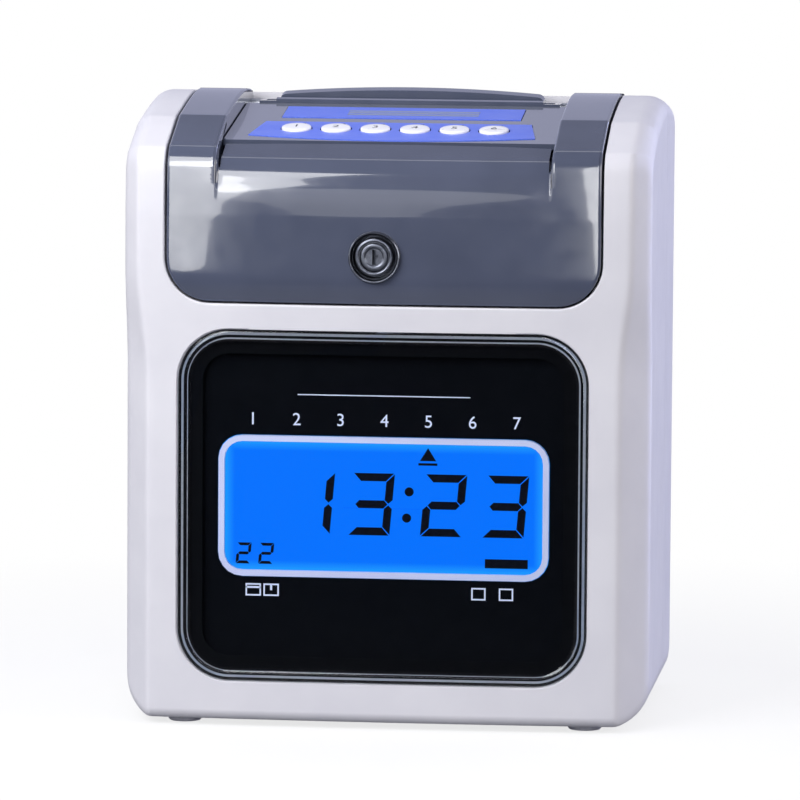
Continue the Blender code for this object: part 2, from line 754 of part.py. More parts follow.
FOOT_PLACES = both_sides(FOOT_OFFSET, [FOOT_FRONT_DEPTH, FOOT_REAR_DEPTH], [])
SCREW_PLACES = both_sides(SCREW_OFFSET, [], [SCREW_LOW, SCREW_HIGH])
DISPLAY_POSTS = both_sides(
    DISPLAY_BOARD_WIDTH / 2 - BOSS_INSET / 2, [],
    [DISPLAY_BOARD_LOW + BOSS_INSET, DISPLAY_BOARD_HIGH - BOSS_INSET],
)
MAIN_POSTS = both_sides(
    MAIN_BOARD_HALF_WIDTH - BOSS_INSET, [], [MAIN_BOARD_LOW + BOSS_INSET, MAIN_BOARD_HIGH - BOSS_INSET]
)


# Casing

def cheek_wall(side, front, rear):
    inner = LID_HALF + LID_GAP
    xs = sorted((side * (inner - OVERRUN), side * (inner + WALL)))
    return block(xs, (front, rear), (LID_LOW - LID_GAP - WALL, BODY_TOP + OVERRUN))


def foot_recesses(foot_depth):
    return [
        rod_z(x, depth, FOOT_RADIUS + GAP, -OVERRUN, BASE_HEIGHT + FOOT_SINK)
        for x, depth in FOOT_PLACES
        if depth == foot_depth
    ]


def casing_half(near, far, additions):
    """The hollow body between two depths. Its inner walls and posts end inside its outer wall."""
    shell = cut(body_form(), body_form(WALL))
    for piece in additions:
        join(shell, common(piece, body_form(WALL / 2)))
    return common(shell, block((-BODY_WIDTH, BODY_WIDTH), (near, far), (-OVERRUN, BODY_TOP * 2)))


def make_front_housing(white):
    seam = SEAM_DEPTH - GAP / 2
    post_front = seam - SCREW_GRIP
    rim = cut(prism_y(lid_outline(LID_GAP + WALL), -OVERRUN, LEDGE_DEPTH), bay(-OVERRUN * 3))
    additions = [rim, cheek_wall(-1, -OVERRUN, seam + OVERRUN), cheek_wall(1, -OVERRUN, seam + OVERRUN)]
    additions.append(prism_y(window_outline(REBATE_WIDTH), -OVERRUN, REBATE_DEPTH))
    for x, height in DISPLAY_POSTS:
        additions.append(rod_y(x, height, BOSS_RADIUS, WALL, DISPLAY_BOARD_DEPTH - GAP, SMALL_SIDES))
    for x, height in SCREW_PLACES:
        additions.append(rod_y(x, height, SCREW_POST_RADIUS, post_front, seam + OVERRUN, SMALL_SIDES))
        web = sorted((x, math.copysign(HALF_WIDTH - WALL / 2, x)))
        half_web = SCREW_POST_RADIUS / 2
        web_z = (height - half_web, height + half_web)
        additions.append(block(web, (post_front + half_web, seam + OVERRUN), web_z))
    for side in (-1, 1):
        for depth in (FRAME_FRONT + FOOT_BOSS_RADIUS, SEAM_DEPTH - FOOT_BOSS_RADIUS * 2):
            x = side * (FRAME_INNER - FOOT_BOSS_RADIUS * 2)
            low = BASE_HEIGHT + WALL / 2
            additions.append(rod_z(x, depth, FOOT_BOSS_RADIUS, low, FRAME_LOW - GAP, SMALL_SIDES))
    shell = cut(casing_half(-OVERRUN, seam, additions), bay())
    ledge_top = LID_LOW - LID_GAP
    strike_x = (LOCK_OFFSET - STRIKE_WIDTH / 2, LOCK_OFFSET + STRIKE_WIDTH / 2)
    strike_depth = (STRIKE_FRONT, STRIKE_FRONT + STRIKE_THICKNESS)
    join(shell, block(strike_x, strike_depth, (ledge_top - WALL / 2, ledge_top + STRIKE_HEIGHT)))
    seat = prism_y(window_outline(0.0), -OVERRUN, REBATE_DEPTH)
    cut(seat, body_form(LENS_SETBACK + LENS_THICKNESS + GAP))
    through = prism_y(window_outline(-REBATE_WIDTH), -OVERRUN * 2, REBATE_DEPTH + OVERRUN)
    cut(shell, seat, through, *foot_recesses(FOOT_FRONT_DEPTH))
    for x, height in SCREW_PLACES:
        bore = SCREW_SHANK_RADIUS + GAP
        cut(shell, rod_y(x, height, bore, SCREW_TIP - GAP, seam + OVERRUN, SMALL_SIDES))
    return settle(shell, "front_housing", white)


def make_rear_housing(white):
    seam = SEAM_DEPTH + GAP / 2
    back = BODY_DEPTH - WALL / 2
    cross = LID_HALF + LID_GAP + WALL
    additions = [cheek_wall(side, seam - OVERRUN, BAY_REAR + WALL / 2) for side in (-1, 1)]
    cross_depth = (BAY_REAR - OVERRUN, BAY_REAR + WALL)
    additions.append(block((-cross, cross), cross_depth, (ARM_LOW, BODY_TOP + OVERRUN)))
    for x, height in SCREW_PLACES:
        additions.append(rod_y(x, height, SCREW_POST_RADIUS, seam - OVERRUN, back, SMALL_SIDES))
    for x, height in MAIN_POSTS:
        post_front = MAIN_BOARD_DEPTH + BOARD_THICKNESS + GAP
        additions.append(rod_y(x, height, BOSS_RADIUS, post_front, back, SMALL_SIDES))
    shell = cut(casing_half(seam, BODY_DEPTH + OVERRUN, additions), bay())
    hinge_hole = HINGE_ROD_RADIUS + RUNNING_GAP
    cut(shell, rod_x(HINGE_DEPTH, HINGE_HEIGHT, hinge_hole, -HINGE_ROD_HALF - GAP, HINGE_ROD_HALF + GAP))
    cut(shell, *foot_recesses(FOOT_REAR_DEPTH))
    through = (BACK_INNER - OVERRUN, BODY_DEPTH + OVERRUN)
    for x, height in SCREW_PLACES:
        bore = SCREW_SHANK_RADIUS + GAP
        cut(shell, rod_y(x, height, bore, seam - OVERRUN, SCREW_SEAT + OVERRUN, SMALL_SIDES))
        cut(shell, rod_y(x, height, SCREW_HEAD_RADIUS + GAP, SCREW_SEAT, through[1]))
    for side in (-1, 1):
        x = side * KEYHOLE_OFFSET
        top = KEYHOLE_HEIGHT + KEYHOLE_SLOT_RISE
        hole = rod_y(x, KEYHOLE_HEIGHT, KEYHOLE_RADIUS, *through, SMALL_SIDES)
        neck = (x - KEYHOLE_SLOT_RADIUS, x + KEYHOLE_SLOT_RADIUS)
        cut(shell, join(hole, block(neck, through, (KEYHOLE_HEIGHT, top))))
    first = VENT_OFFSET - VENT_PITCH * (VENT_COUNT - 1) / 2
    for i in range(VENT_COUNT):
        x = first + VENT_PITCH * i
        sides = (x - VENT_WIDTH / 2, x + VENT_WIDTH / 2)
        cut(shell, block(sides, through, (VENT_LOW, VENT_LOW + VENT_HEIGHT)))
    half_width = INLET_BODY_WIDTH / 2 + GAP
    half_height = INLET_BODY_HEIGHT / 2 + GAP
    sides = (INLET_OFFSET - half_width, INLET_OFFSET + half_width)
    cut(shell, block(sides, through, (INLET_HEIGHT - half_height, INLET_HEIGHT + half_height)))
    return settle(shell, "rear_housing", white)


def make_feet(rubber):
    top = BASE_HEIGHT + FOOT_SINK - GAP
    edge = KEY_EDGE
    profile = [(FOOT_RADIUS - edge, 0.0), (FOOT_RADIUS, edge), (FOOT_RADIUS, top)]
    for i, (x, depth) in enumerate(FOOT_PLACES, 1):
        settle(turned_z(x, depth, profile, SMALL_SIDES), f"foot_{i}", rubber)


def make_case_screws(steel):
    head_front = SCREW_SEAT + GAP
    head_rear = head_front + SCREW_HEAD_HEIGHT
    for i, (x, height) in enumerate(SCREW_PLACES, 1):
        screw = rod_y(x, height, SCREW_HEAD_RADIUS, head_front, head_rear, SMALL_SIDES)
        join(screw, rod_y(x, height, SCREW_SHANK_RADIUS, SCREW_TIP, head_front + SCREW_SLOT, SMALL_SIDES))
        slot = (head_rear - SCREW_SLOT, head_rear + OVERRUN)
        arm = SCREW_HEAD_RADIUS / 2
        half = SCREW_SLOT / 2
        cross = block((x - arm, x + arm), slot, (height - half, height + half))
        join(cross, block((x - half, x + half), slot, (height - arm, height + arm)))
        settle(cut(screw, cross), f"case_screw_{i}", steel)


# Lid, hinge and lock

def make_lid(grey, holder):
    far = HINGE_DEPTH + BODY_DEPTH
    width = (-BODY_WIDTH, BODY_WIDTH)
    front = -OVERRUN * 3
    lid = common(lid_form(-LID_PROUD), prism_y(lid_outline(0.0), front, HINGE_DEPTH))
    hollow = lid_form(LID_WALL - LID_PROUD)
    common(hollow, prism_y(lid_outline(-LID_WALL), front, HINGE_DEPTH + OVERRUN))
    for side in (-1, 1):
        wall = sorted((side * ARM_INNER, side * (ARM_INNER + LID_WALL)))
        cut(hollow, block(wall, (PANEL_DEPTH - LID_WALL, far), (ARM_LOW, BODY_TOP * 2)))
    cut(lid, hollow)
    cut(lid, block((-ARM_INNER, ARM_INNER), (RIM_DEPTH, far), (ARM_LOW - OVERRUN, BODY_TOP * 2)))
    cut(lid, block(width, (PANEL_DEPTH, far), (0.0, ARM_LOW)))
    flange = LID_HALF - LID_CORNER
    cut(lid, block((-flange, flange), (LID_FLANGE, far), (0.0, LID_LOW + LID_WALL + OVERRUN)))
    for side in (-1, 1):
        ends = sorted((side * ARM_INNER, side * LID_HALF))
        join(lid, rod_x(HINGE_DEPTH, HINGE_HEIGHT, ARM_END_RADIUS, *ends))
    cut(lid, rod_x(HINGE_DEPTH, HINGE_HEIGHT, HINGE_ROD_RADIUS + RUNNING_GAP, *width))
    cut(lid, rod_y(LOCK_OFFSET, LOCK_HEIGHT, LOCK_BODY_RADIUS + GAP, front, LID_FLANGE))
    return settle(lid, "top_lid", grey, holder, at(0.0, HINGE_DEPTH, HINGE_HEIGHT))


def make_hinge_rod(steel):
    rod = rod_x(HINGE_DEPTH, HINGE_HEIGHT, HINGE_ROD_RADIUS, -HINGE_ROD_HALF, HINGE_ROD_HALF)
    settle(rod, "hinge_rod", steel)


def lock_rod(radius, front, rear, sides=ROUND_SIDES):
    return rod_y(LOCK_OFFSET, LOCK_HEIGHT, radius, front, rear, sides)


def make_lock(chrome, steel, lid_holder, lock_holder):
    face = -LOCK_REACH
    seat = -LID_PROUD - GAP
    well = face + LOCK_WELL_DEPTH
    barrel = lock_rod(LOCK_RING_RADIUS, face, seat)
    join(barrel, lock_rod(LOCK_BODY_RADIUS, (face + seat) / 2, LOCK_BODY_LENGTH))
    cut(barrel, lock_rod(LOCK_WELL_RADIUS, face - OVERRUN, well))
    join(barrel, lock_rod(LOCK_FACE_RADIUS, face + GAP, well + GAP))
    cut(barrel, lock_rod(LOCK_PLUG_RADIUS + RUNNING_GAP, face - OVERRUN, LOCK_BODY_LENGTH + OVERRUN))
    settle(barrel, "lock_barrel", chrome, lid_holder)
    nut_front = LID_WALL - LID_PROUD + GAP
    nut = lock_rod(LOCK_NUT_RADIUS, nut_front, nut_front + LOCK_NUT_THICKNESS, 6)
    cut(nut, lock_rod(LOCK_BODY_RADIUS + GAP, 0.0, LOCK_BODY_LENGTH))
    settle(nut, "lock_nut", steel, lid_holder)
    half_tang = TANG_WIDTH / 2
    cam_rear = CAM_DEPTH + CAM_THICKNESS
    tang_x = (LOCK_OFFSET - half_tang, LOCK_OFFSET + half_tang)
    plug = lock_rod(LOCK_PLUG_RADIUS, face + GAP, LOCK_BODY_LENGTH)
    tang_z = (LOCK_HEIGHT - half_tang, LOCK_HEIGHT + half_tang)
    join(plug, block(tang_x, (LOCK_BODY_LENGTH / 2, cam_rear), tang_z))
    keyway_x = (LOCK_OFFSET - KEYWAY_WIDTH / 2, LOCK_OFFSET + KEYWAY_WIDTH / 2)
    keyway_z = (LOCK_HEIGHT - KEYWAY_HEIGHT / 2, LOCK_HEIGHT + KEYWAY_HEIGHT / 2)
    cut(plug, block(keyway_x, (face - OVERRUN, KEYWAY_DEPTH + face), keyway_z))
    axis = at(LOCK_OFFSET, 0.0, LOCK_HEIGHT)
    settle(plug, "lock_plug", chrome, lock_holder, axis)
    cam = lock_rod(CAM_WIDTH / 2, CAM_DEPTH, cam_rear, SMALL_SIDES)
    arm_z = (LOCK_HEIGHT - CAM_WIDTH / 2, LOCK_HEIGHT + CAM_WIDTH / 2)
    join(cam, block((LOCK_OFFSET, LOCK_OFFSET + CAM_LENGTH), (CAM_DEPTH, cam_rear), arm_z))
    hole = half_tang + RUNNING_GAP
    hole_z = (LOCK_HEIGHT - hole, LOCK_HEIGHT + hole)
    hole_depth = (CAM_DEPTH - OVERRUN, cam_rear + OVERRUN)
    cut(cam, block((LOCK_OFFSET - hole, LOCK_OFFSET + hole), hole_depth, hole_z))
    settle(cam, "lock_cam", steel, lock_holder, axis)


# Window and display

def make_display(clear, black, pale, blue, green):
    lens = prism_y(window_outline(-GAP), -OVERRUN, REBATE_DEPTH)
    common(lens, body_form(LENS_SETBACK))
    cut(lens, body_form(LENS_SETBACK + LENS_THICKNESS))
    settle(lens, "window_lens", clear)
    mask_rear = MASK_DEPTH + MASK_THICKNESS
    mask = prism_y(window_outline(REBATE_WIDTH / 2), MASK_DEPTH, mask_rear)
    cut(mask, prism_y(lcd_outline(GAP), MASK_DEPTH - OVERRUN, mask_rear + OVERRUN))
    settle(mask, "display_mask", black)
    frame = prism_y(lcd_outline(0.0), MASK_DEPTH - LCD_FRAME_PROUD, mask_rear)
    cut(frame, prism_y(lcd_outline(-LCD_FRAME_WIDTH), MASK_DEPTH - OVERRUN, mask_rear + OVERRUN))
    settle(frame, "lcd_frame", pale)
    half = LCD_WIDTH / 2 + LCD_MARGIN
    low = LCD_LOW - LCD_MARGIN
    high = LCD_HIGH + LCD_MARGIN
    lcd_middle = LCD_DEPTH + LCD_THICKNESS / 2
    glass = block((-half, half), (LCD_DEPTH, lcd_middle), (low, high))
    rear_depth = (lcd_middle - GAP, LCD_DEPTH + LCD_THICKNESS)
    rear_glass = ((-half, half), rear_depth, (low - LCD_FRAME_WIDTH, high))
    settle(join(glass, block(*rear_glass)), "lcd_panel", blue)
    light_rear = BACKLIGHT_DEPTH + BACKLIGHT_THICKNESS
    light = block((-half, half), (BACKLIGHT_DEPTH, light_rear), (low, high))
    for x in (-half + BOSS_INSET, half - BOSS_INSET):
        for height in (low + BOSS_INSET, high - BOSS_INSET):
            rear = DISPLAY_BOARD_DEPTH - GAP
            join(light, rod_y(x, height, STUB_RADIUS, BACKLIGHT_DEPTH + WALL / 2, rear, SMALL_SIDES))
    settle(light, "lcd_backlight", pale)
    rear = DISPLAY_BOARD_DEPTH + BOARD_THICKNESS
    side = DISPLAY_BOARD_WIDTH / 2
    board = block((-side, side), (DISPLAY_BOARD_DEPTH, rear), (DISPLAY_BOARD_LOW, DISPLAY_BOARD_HIGH))
    chip = SWITCH_SIZE
    middle_height = (DISPLAY_BOARD_LOW + DISPLAY_BOARD_HIGH) / 2
    chip_depth = (DISPLAY_BOARD_DEPTH + GAP, rear + SWITCH_HEIGHT)
    join(board, block((-chip * 2, chip * 2), chip_depth, (middle_height - chip, middle_height + chip)))
    plug_z = (DISPLAY_BOARD_LOW + chip, DISPLAY_BOARD_LOW + chip * 2)
    join(board, block((chip * 4, chip * 9), chip_depth, plug_z))
    for x, height in DISPLAY_POSTS:
        hole = (DISPLAY_BOARD_DEPTH - OVERRUN, rear + OVERRUN)
        cut(board, rod_y(x, height, SCREW_SHANK_RADIUS, *hole, SMALL_SIDES))
    settle(board, "display_board", green)


# Key deck, in a frame of x, distance up the slope, and height over the deck

DECK_FRAME = Matrix.Translation(at(0.0, DECK_FRONT, DECK_FRONT_HEIGHT)) @ Matrix.Rotation(DECK_SLOPE, 4, "X")
KEY_LINE = KEY_LABEL_FRONT + KEY_LABEL_LENGTH / 2
FLANGE_TOP = -DECK_THICKNESS - GAP


def plate(outline, low, high):
    """An outline of x and slope distance, filled between two heights over the deck."""
    return loft([[Vector((x, along, height)) for x, along in outline] for height in (low, high)])


def oval(x, along, grow, half_width=KEY_WIDTH / 2, half_length=KEY_LENGTH / 2, sides=ROUND_SIDES):
    angles = [2 * math.pi * i / sides for i in range(sides)]
    return [
        (x + (half_width + grow) * math.cos(angle), along + (half_length + grow) * math.sin(angle))
        for angle in angles
    ]


def key_places():
    return [(i - (KEY_COUNT - 1) / 2) * KEY_PITCH for i in range(KEY_COUNT)]


def key_label_outline(grow):
    """The label's outline: a front edge that bows towards the lid, and sides that draw in."""
    front = KEY_LABEL_FRONT - grow
    rear = KEY_LABEL_FRONT + KEY_LABEL_LENGTH + grow
    half_front = KEY_LABEL_FRONT_WIDTH / 2 + grow
    half_rear = KEY_LABEL_REAR_WIDTH / 2 + grow
    steps = 8
    shares = [2 * i / steps - 1 for i in range(steps + 1)]
    edge = [(half_front * share, front - KEY_LABEL_BOW * (1 - share * share)) for share in shares]
    return edge + [(half_rear, rear), (-half_rear, rear)]


def card_label_outline(grow):
    half = CARD_LABEL_WIDTH / 2 + grow
    front = CARD_LABEL_FRONT - grow
    rear = CARD_LABEL_FRONT + CARD_LABEL_LENGTH + grow
    return [(-half, front), (half, front), (half, rear), (-half, rear)]


def make_deck(grey, blue, white, green, key_holders):
    deck_outline = [(-DECK_HALF, 0.0), (DECK_HALF, 0.0), (DECK_HALF, DECK_LENGTH), (-DECK_HALF, DECK_LENGTH)]
    deck = plate(deck_outline, -DECK_THICKNESS, 0.0)
    board_top = -KEY_BOARD_DROP
    half_board = KEY_BOARD_WIDTH / 2
    board_post = half_board - BOSS_INSET / 2
    for x in (-board_post, board_post):
        post = oval(x, KEY_LINE, 0.0, KEY_STEM_RADIUS, KEY_STEM_RADIUS, SMALL_SIDES)
        join(deck, plate(post, board_top + GAP, -DECK_THICKNESS / 2))
    cut(deck, plate(key_label_outline(GAP), -LABEL_SINK, OVERRUN))
    cut(deck, plate(card_label_outline(GAP), -LABEL_SINK, OVERRUN))
    for x in key_places():
        cut(deck, plate(oval(x, KEY_LINE, GAP), -DECK_THICKNESS - OVERRUN, OVERRUN))
    deck.data.transform(DECK_FRAME)
    for side in (-1, 1):
        for depth in (DECK_FRONT + DECK_LEG * 2, THROAT_FRONT - DECK_LEG * 2):
            x = side * (DECK_HALF - DECK_LEG)
            top = DECK_FRONT_HEIGHT + (depth - DECK_FRONT) * math.tan(DECK_SLOPE) - DECK_THICKNESS / 2
            sides = (x - DECK_LEG / 2, x + DECK_LEG / 2)
            join(deck, block(sides, (depth - DECK_LEG / 2, depth + DECK_LEG / 2), (BRIDGE_TOP, top)))
    settle(deck, "key_deck", grey)
    low = -LABEL_SINK + GAP
    key_label = plate(key_label_outline(0.0), low, low + LABEL_THICKNESS)
    for x in key_places():
        cut(key_label, plate(oval(x, KEY_LINE, GAP * 2), -DECK_THICKNESS, OVERRUN))
    settle(key_label, "key_label", blue, frame=DECK_FRAME)
    card_label = plate(card_label_outline(0.0), low, low + LABEL_THICKNESS)
    settle(card_label, "card_label", blue, frame=DECK_FRAME)
    stem_end = board_top + SWITCH_HEIGHT + GAP + KEY_TRAVEL
    for i, x in enumerate(key_places()):
        rings = [
            (oval(x, KEY_LINE, -KEY_EDGE), KEY_PROUD),
            (oval(x, KEY_LINE, 0.0), KEY_PROUD - KEY_EDGE),
            (oval(x, KEY_LINE, 0.0), FLANGE_TOP),
            (oval(x, KEY_LINE, KEY_FLANGE), FLANGE_TOP),
            (oval(x, KEY_LINE, KEY_FLANGE), FLANGE_TOP - KEY_EDGE),
            (oval(x, KEY_LINE, 0.0, KEY_STEM_RADIUS, KEY_STEM_RADIUS), FLANGE_TOP - KEY_EDGE),
            (oval(x, KEY_LINE, 0.0, KEY_STEM_RADIUS, KEY_STEM_RADIUS), stem_end),
        ]
        key = loft([[Vector((a, b, height)) for a, b in outline] for outline, height in rings])
        settle(key, f"column_key_{i + 1}", white, key_holders[i], Vector((x, KEY_LINE, 0.0)), DECK_FRAME)
    half_length = KEY_BOARD_LENGTH / 2
    near = KEY_LINE - half_length
    far = KEY_LINE + half_length
    outline = [(-half_board, near), (half_board, near), (half_board, far), (-half_board, far)]
    board = plate(outline, board_top - BOARD_THICKNESS, board_top)
    half = SWITCH_SIZE / 2
    for x in key_places():
        square = [
            (x - half, KEY_LINE - half), (x + half, KEY_LINE - half), (x + half, KEY_LINE + half),
            (x - half, KEY_LINE + half),
        ]
        join(board, plate(square, board_top - BOARD_THICKNESS / 2, board_top + SWITCH_HEIGHT))
    settle(board, "key_board", green, frame=DECK_FRAME)


# Card slot and chute

def make_card_path(grey, steel):
    over = (BRIDGE_TOP - OVERRUN, BAR_TOP + OVERRUN)
    half_throat = THROAT_WIDTH / 2
    throat = block((-half_throat, half_throat), (THROAT_FRONT, THROAT_REAR), (BRIDGE_TOP, THROAT_TOP))
    bar = rounded(BAR_WIDTH / 2, BRIDGE_TOP + WALL, BAR_TOP, 0.0, BAR_CORNER, 4)
    join(throat, prism_y(bar, BAR_FRONT, THROAT_REAR - GAP))
    half_groove = GROOVE_WIDTH / 2
    groove = (CARD_DEPTH - GROOVE_OPENING / 2, BAR_FRONT)
    cut(throat, block((-half_groove, half_groove), groove, (THROAT_TOP - GROOVE_HEIGHT, over[1])))
    half_slit = SLIT_WIDTH / 2
    slit = (CARD_DEPTH - SLIT_OPENING / 2, CARD_DEPTH + SLIT_OPENING / 2)
    cut(throat, block((-half_slit, half_slit), slit, over))
    settle(throat, "card_throat", grey)
    side = FRAME_INNER - GAP
    top = FRAME_TOP - FRAME_SHEET - GAP
    front = block((-side, side), (CHUTE_FRONT, CHUTE_FRONT + CHUTE_SHEET), (CHUTE_LOW, top))
    rear = block((-side, side), (CHUTE_REAR, CHUTE_REAR + CHUTE_SHEET), (CHUTE_LOW, top))
    lip_top = CHUTE_LOW - GAP
    lip_x = (-half_slit - WALL, half_slit + WALL)
    join(rear, block(lip_x, (CHUTE_FRONT, CHUTE_REAR + CHUTE_SHEET), (lip_top - CHUTE_SHEET, lip_top)))
    lip_z = (lip_top - CHUTE_SHEET, CHUTE_LOW + WALL)
    join(rear, block(lip_x, (CHUTE_REAR, CHUTE_REAR + CHUTE_SHEET), lip_z))
    front_cut = (CHUTE_FRONT - OVERRUN, CHUTE_FRONT + CHUTE_SHEET + OVERRUN / 2)
    rear_cut = (CHUTE_REAR - OVERRUN / 2, CHUTE_REAR + CHUTE_SHEET + OVERRUN)
    window = (-PRINT_WINDOW_HALF_WIDTH, PRINT_WINDOW_HALF_WIDTH)
    window_z = (PRINT_HEIGHT - PRINT_WINDOW_BELOW, PRINT_HEIGHT + PRINT_WINDOW_ABOVE)
    cut(front, block(window, front_cut, window_z))
    platen_half = PLATEN_HALF_WIDTH + ROLLER_WINDOW_MARGIN
    platen_rise = PLATEN_RADIUS + GAP
    platen_z = (PRINT_HEIGHT - platen_rise, PRINT_HEIGHT + platen_rise)
    cut(rear, block((-platen_half, platen_half), rear_cut, platen_z))
    half_roller = FEED_ROLLER_WIDTH / 2 + ROLLER_WINDOW_MARGIN
    for x in (-FEED_ROLLER_SPREAD, FEED_ROLLER_SPREAD):
        sides = (x - half_roller, x + half_roller)
        pinch_reach = PINCH_RADIUS + GAP
        feed_z = (FEED_HEIGHT - FEED_ROLLER_RADIUS, FEED_HEIGHT + FEED_ROLLER_RADIUS)
        cut(front, block(sides, front_cut, feed_z))
        cut(rear, block(sides, rear_cut, (FEED_HEIGHT - pinch_reach, FEED_HEIGHT + pinch_reach)))
    settle(front, "card_chute_front", steel)
    settle(rear, "card_chute_rear", steel)


# Frame and print mechanism

def shaft_x(depth, height, profile, sides=ROUND_SIDES):
    """A stepped round bar along X, from a profile of x and radius."""
    return loft([[at(x, a, b) for a, b in circle(depth, height, radius, sides)] for x, radius in profile])


def make_mechanism_frame(steel):
    depth = (FRAME_FRONT, FRAME_REAR)
    width = (-FRAME_HALF, FRAME_HALF)
    frame = block(width, depth, (FRAME_LOW, FRAME_TOP))
    inner = (-FRAME_INNER, FRAME_INNER)
    open_depth = (FRAME_FRONT - OVERRUN, FRAME_REAR + OVERRUN)
    cut(frame, block(inner, open_depth, (FRAME_LOW + FRAME_SHEET, FRAME_TOP - FRAME_SHEET)))
    margin = BRIDGE_SLOT_MARGIN
    slot_x = (-SLIT_WIDTH / 2 - margin, SLIT_WIDTH / 2 + margin)
    reach = SLIT_OPENING / 2 + margin
    slot_z = (FRAME_TOP - FRAME_SHEET - OVERRUN, FRAME_TOP + OVERRUN)
    cut(frame, block(slot_x, (CARD_DEPTH - reach, CARD_DEPTH + reach), slot_z))
    bearings = (
        (GUIDE_ROD_DEPTH, ROD_HEIGHT, GUIDE_ROD_RADIUS),
        (PLATEN_DEPTH, PRINT_HEIGHT, JOURNAL_RADIUS),
        (FEED_DEPTH, FEED_HEIGHT, FEED_SHAFT_RADIUS),
        (PINCH_DEPTH, FEED_HEIGHT, PINCH_SHAFT_RADIUS),
        (CRADLE_PIVOT_DEPTH, CRADLE_HEIGHT, CRADLE_ROD_RADIUS),
        (LEAD_SCREW_DEPTH, ROD_HEIGHT, JOURNAL_RADIUS),
    )
    for bearing_depth, height, radius in bearings:
        cut(frame, rod_x(bearing_depth, height, radius + RUNNING_GAP, -BODY_WIDTH, BODY_WIDTH))
    cut(frame, rod_x(PINION_DEPTH, PINION_HEIGHT, JOURNAL_RADIUS, 0.0, BODY_WIDTH, SMALL_SIDES))
    settle(frame, "mechanism_frame", steel)


def make_carriage(steel, black, brass, carriage_holder, screw_holder):
    end = FRAME_HALF + ROD_OVERHANG
    settle(rod_x(GUIDE_ROD_DEPTH, ROD_HEIGHT, GUIDE_ROD_RADIUS, -end, end), "guide_rod", steel)
    motor_left = -FRAME_INNER + GAP
    motor_right = motor_left + CARRIAGE_MOTOR_LENGTH
    motor = rod_x(LEAD_SCREW_DEPTH, ROD_HEIGHT, CARRIAGE_MOTOR_RADIUS, motor_left, motor_right)
    socket = (motor_right - STUB_LENGTH - GAP * 2, motor_right + OVERRUN)
    cut(motor, rod_x(LEAD_SCREW_DEPTH, ROD_HEIGHT, STUB_RADIUS + RUNNING_GAP, *socket, SMALL_SIDES))
    settle(motor, "carriage_motor", steel)
    left = motor_right + GAP
    right = FRAME_INNER - WALL
    axis = at(0.0, LEAD_SCREW_DEPTH, ROD_HEIGHT)
    rings = [(left - STUB_LENGTH, STUB_RADIUS, 0.0), (left, STUB_RADIUS, 0.0)]
    step = THREAD_LEAD / THREAD_STEPS
    count = int((right - left) / step)
    core = LEAD_SCREW_RADIUS - THREAD_HEIGHT / 2
    rings += [(left + step * i, core, THREAD_HEIGHT / 2) for i in range(count + 1)]
    rings += [(left + step * count, JOURNAL_RADIUS, 0.0), (end, JOURNAL_RADIUS, 0.0)]
    points = []
    for x, radius, wave in rings:
        ring = []
        for i in range(SCREW_SIDES):
            angle = 2 * math.pi * i / SCREW_SIDES
            reach = radius + wave * math.cos(2 * math.pi * (x - left) / THREAD_LEAD - angle)
            depth = LEAD_SCREW_DEPTH + reach * math.cos(angle)
            ring.append(at(x, depth, ROD_HEIGHT + reach * math.sin(angle)))
        points.append(ring)
    settle(loft(points), "lead_screw", brass, screw_holder, axis)
    half = CARRIAGE_WIDTH / 2
    carriage_top = ROD_HEIGHT + CARRIAGE_HEIGHT / 2
    depth = (GUIDE_ROD_DEPTH - CARRIAGE_MARGIN, LEAD_SCREW_DEPTH + CARRIAGE_MARGIN + GUIDE_ROD_RADIUS / 2)
    carriage = block((-half, half), depth, (ROD_HEIGHT - CARRIAGE_HEIGHT / 2, carriage_top))
    guide_bore = GUIDE_ROD_RADIUS + RUNNING_GAP
    cut(carriage, rod_x(GUIDE_ROD_DEPTH, ROD_HEIGHT, guide_bore, -BODY_WIDTH, BODY_WIDTH))
    bore = LEAD_SCREW_RADIUS + RUNNING_GAP
    cut(carriage, rod_x(LEAD_SCREW_DEPTH, ROD_HEIGHT, bore, -BODY_WIDTH, BODY_WIDTH))
    settle(carriage, "print_carriage", black, carriage_holder, axis)
    tip = CARD_DEPTH - NOSE_TIP_SETBACK
    head_rear = tip - NOSE_LENGTH
    head_front = head_rear - HEAD_DEPTH
    low = carriage_top + GAP
    top = low + HEAD_HEIGHT
    head = block((-HEAD_WIDTH / 2, HEAD_WIDTH / 2), (head_front, head_rear), (low, top))
    nose_z = (PRINT_HEIGHT - NOSE_HEIGHT / 2, PRINT_HEIGHT + NOSE_HEIGHT / 2)
    join(head, block((-NOSE_WIDTH / 2, NOSE_WIDTH / 2), (head_rear - WALL, tip), nose_z))
    pitch = HEAD_DEPTH / (FIN_COUNT + 1)
    for i in range(FIN_COUNT):
        middle_depth = head_front + pitch * (i + 1)
        slot = (middle_depth - FIN_SLOT / 2, middle_depth + FIN_SLOT / 2)
        cut(head, block((-HEAD_WIDTH, HEAD_WIDTH), slot, (top - FIN_SLOT_DEPTH, top + OVERRUN)))
    settle(head, "print_head", black, carriage_holder)
    half_platen = PLATEN_HALF_WIDTH
    profile = [
        (-end, JOURNAL_RADIUS), (-half_platen, JOURNAL_RADIUS), (-half_platen, PLATEN_RADIUS),
        (half_platen, PLATEN_RADIUS), (half_platen, JOURNAL_RADIUS), (end, JOURNAL_RADIUS),
    ]
    settle(shaft_x(PLATEN_DEPTH, PRINT_HEIGHT, profile), "platen", black)


# Card feed

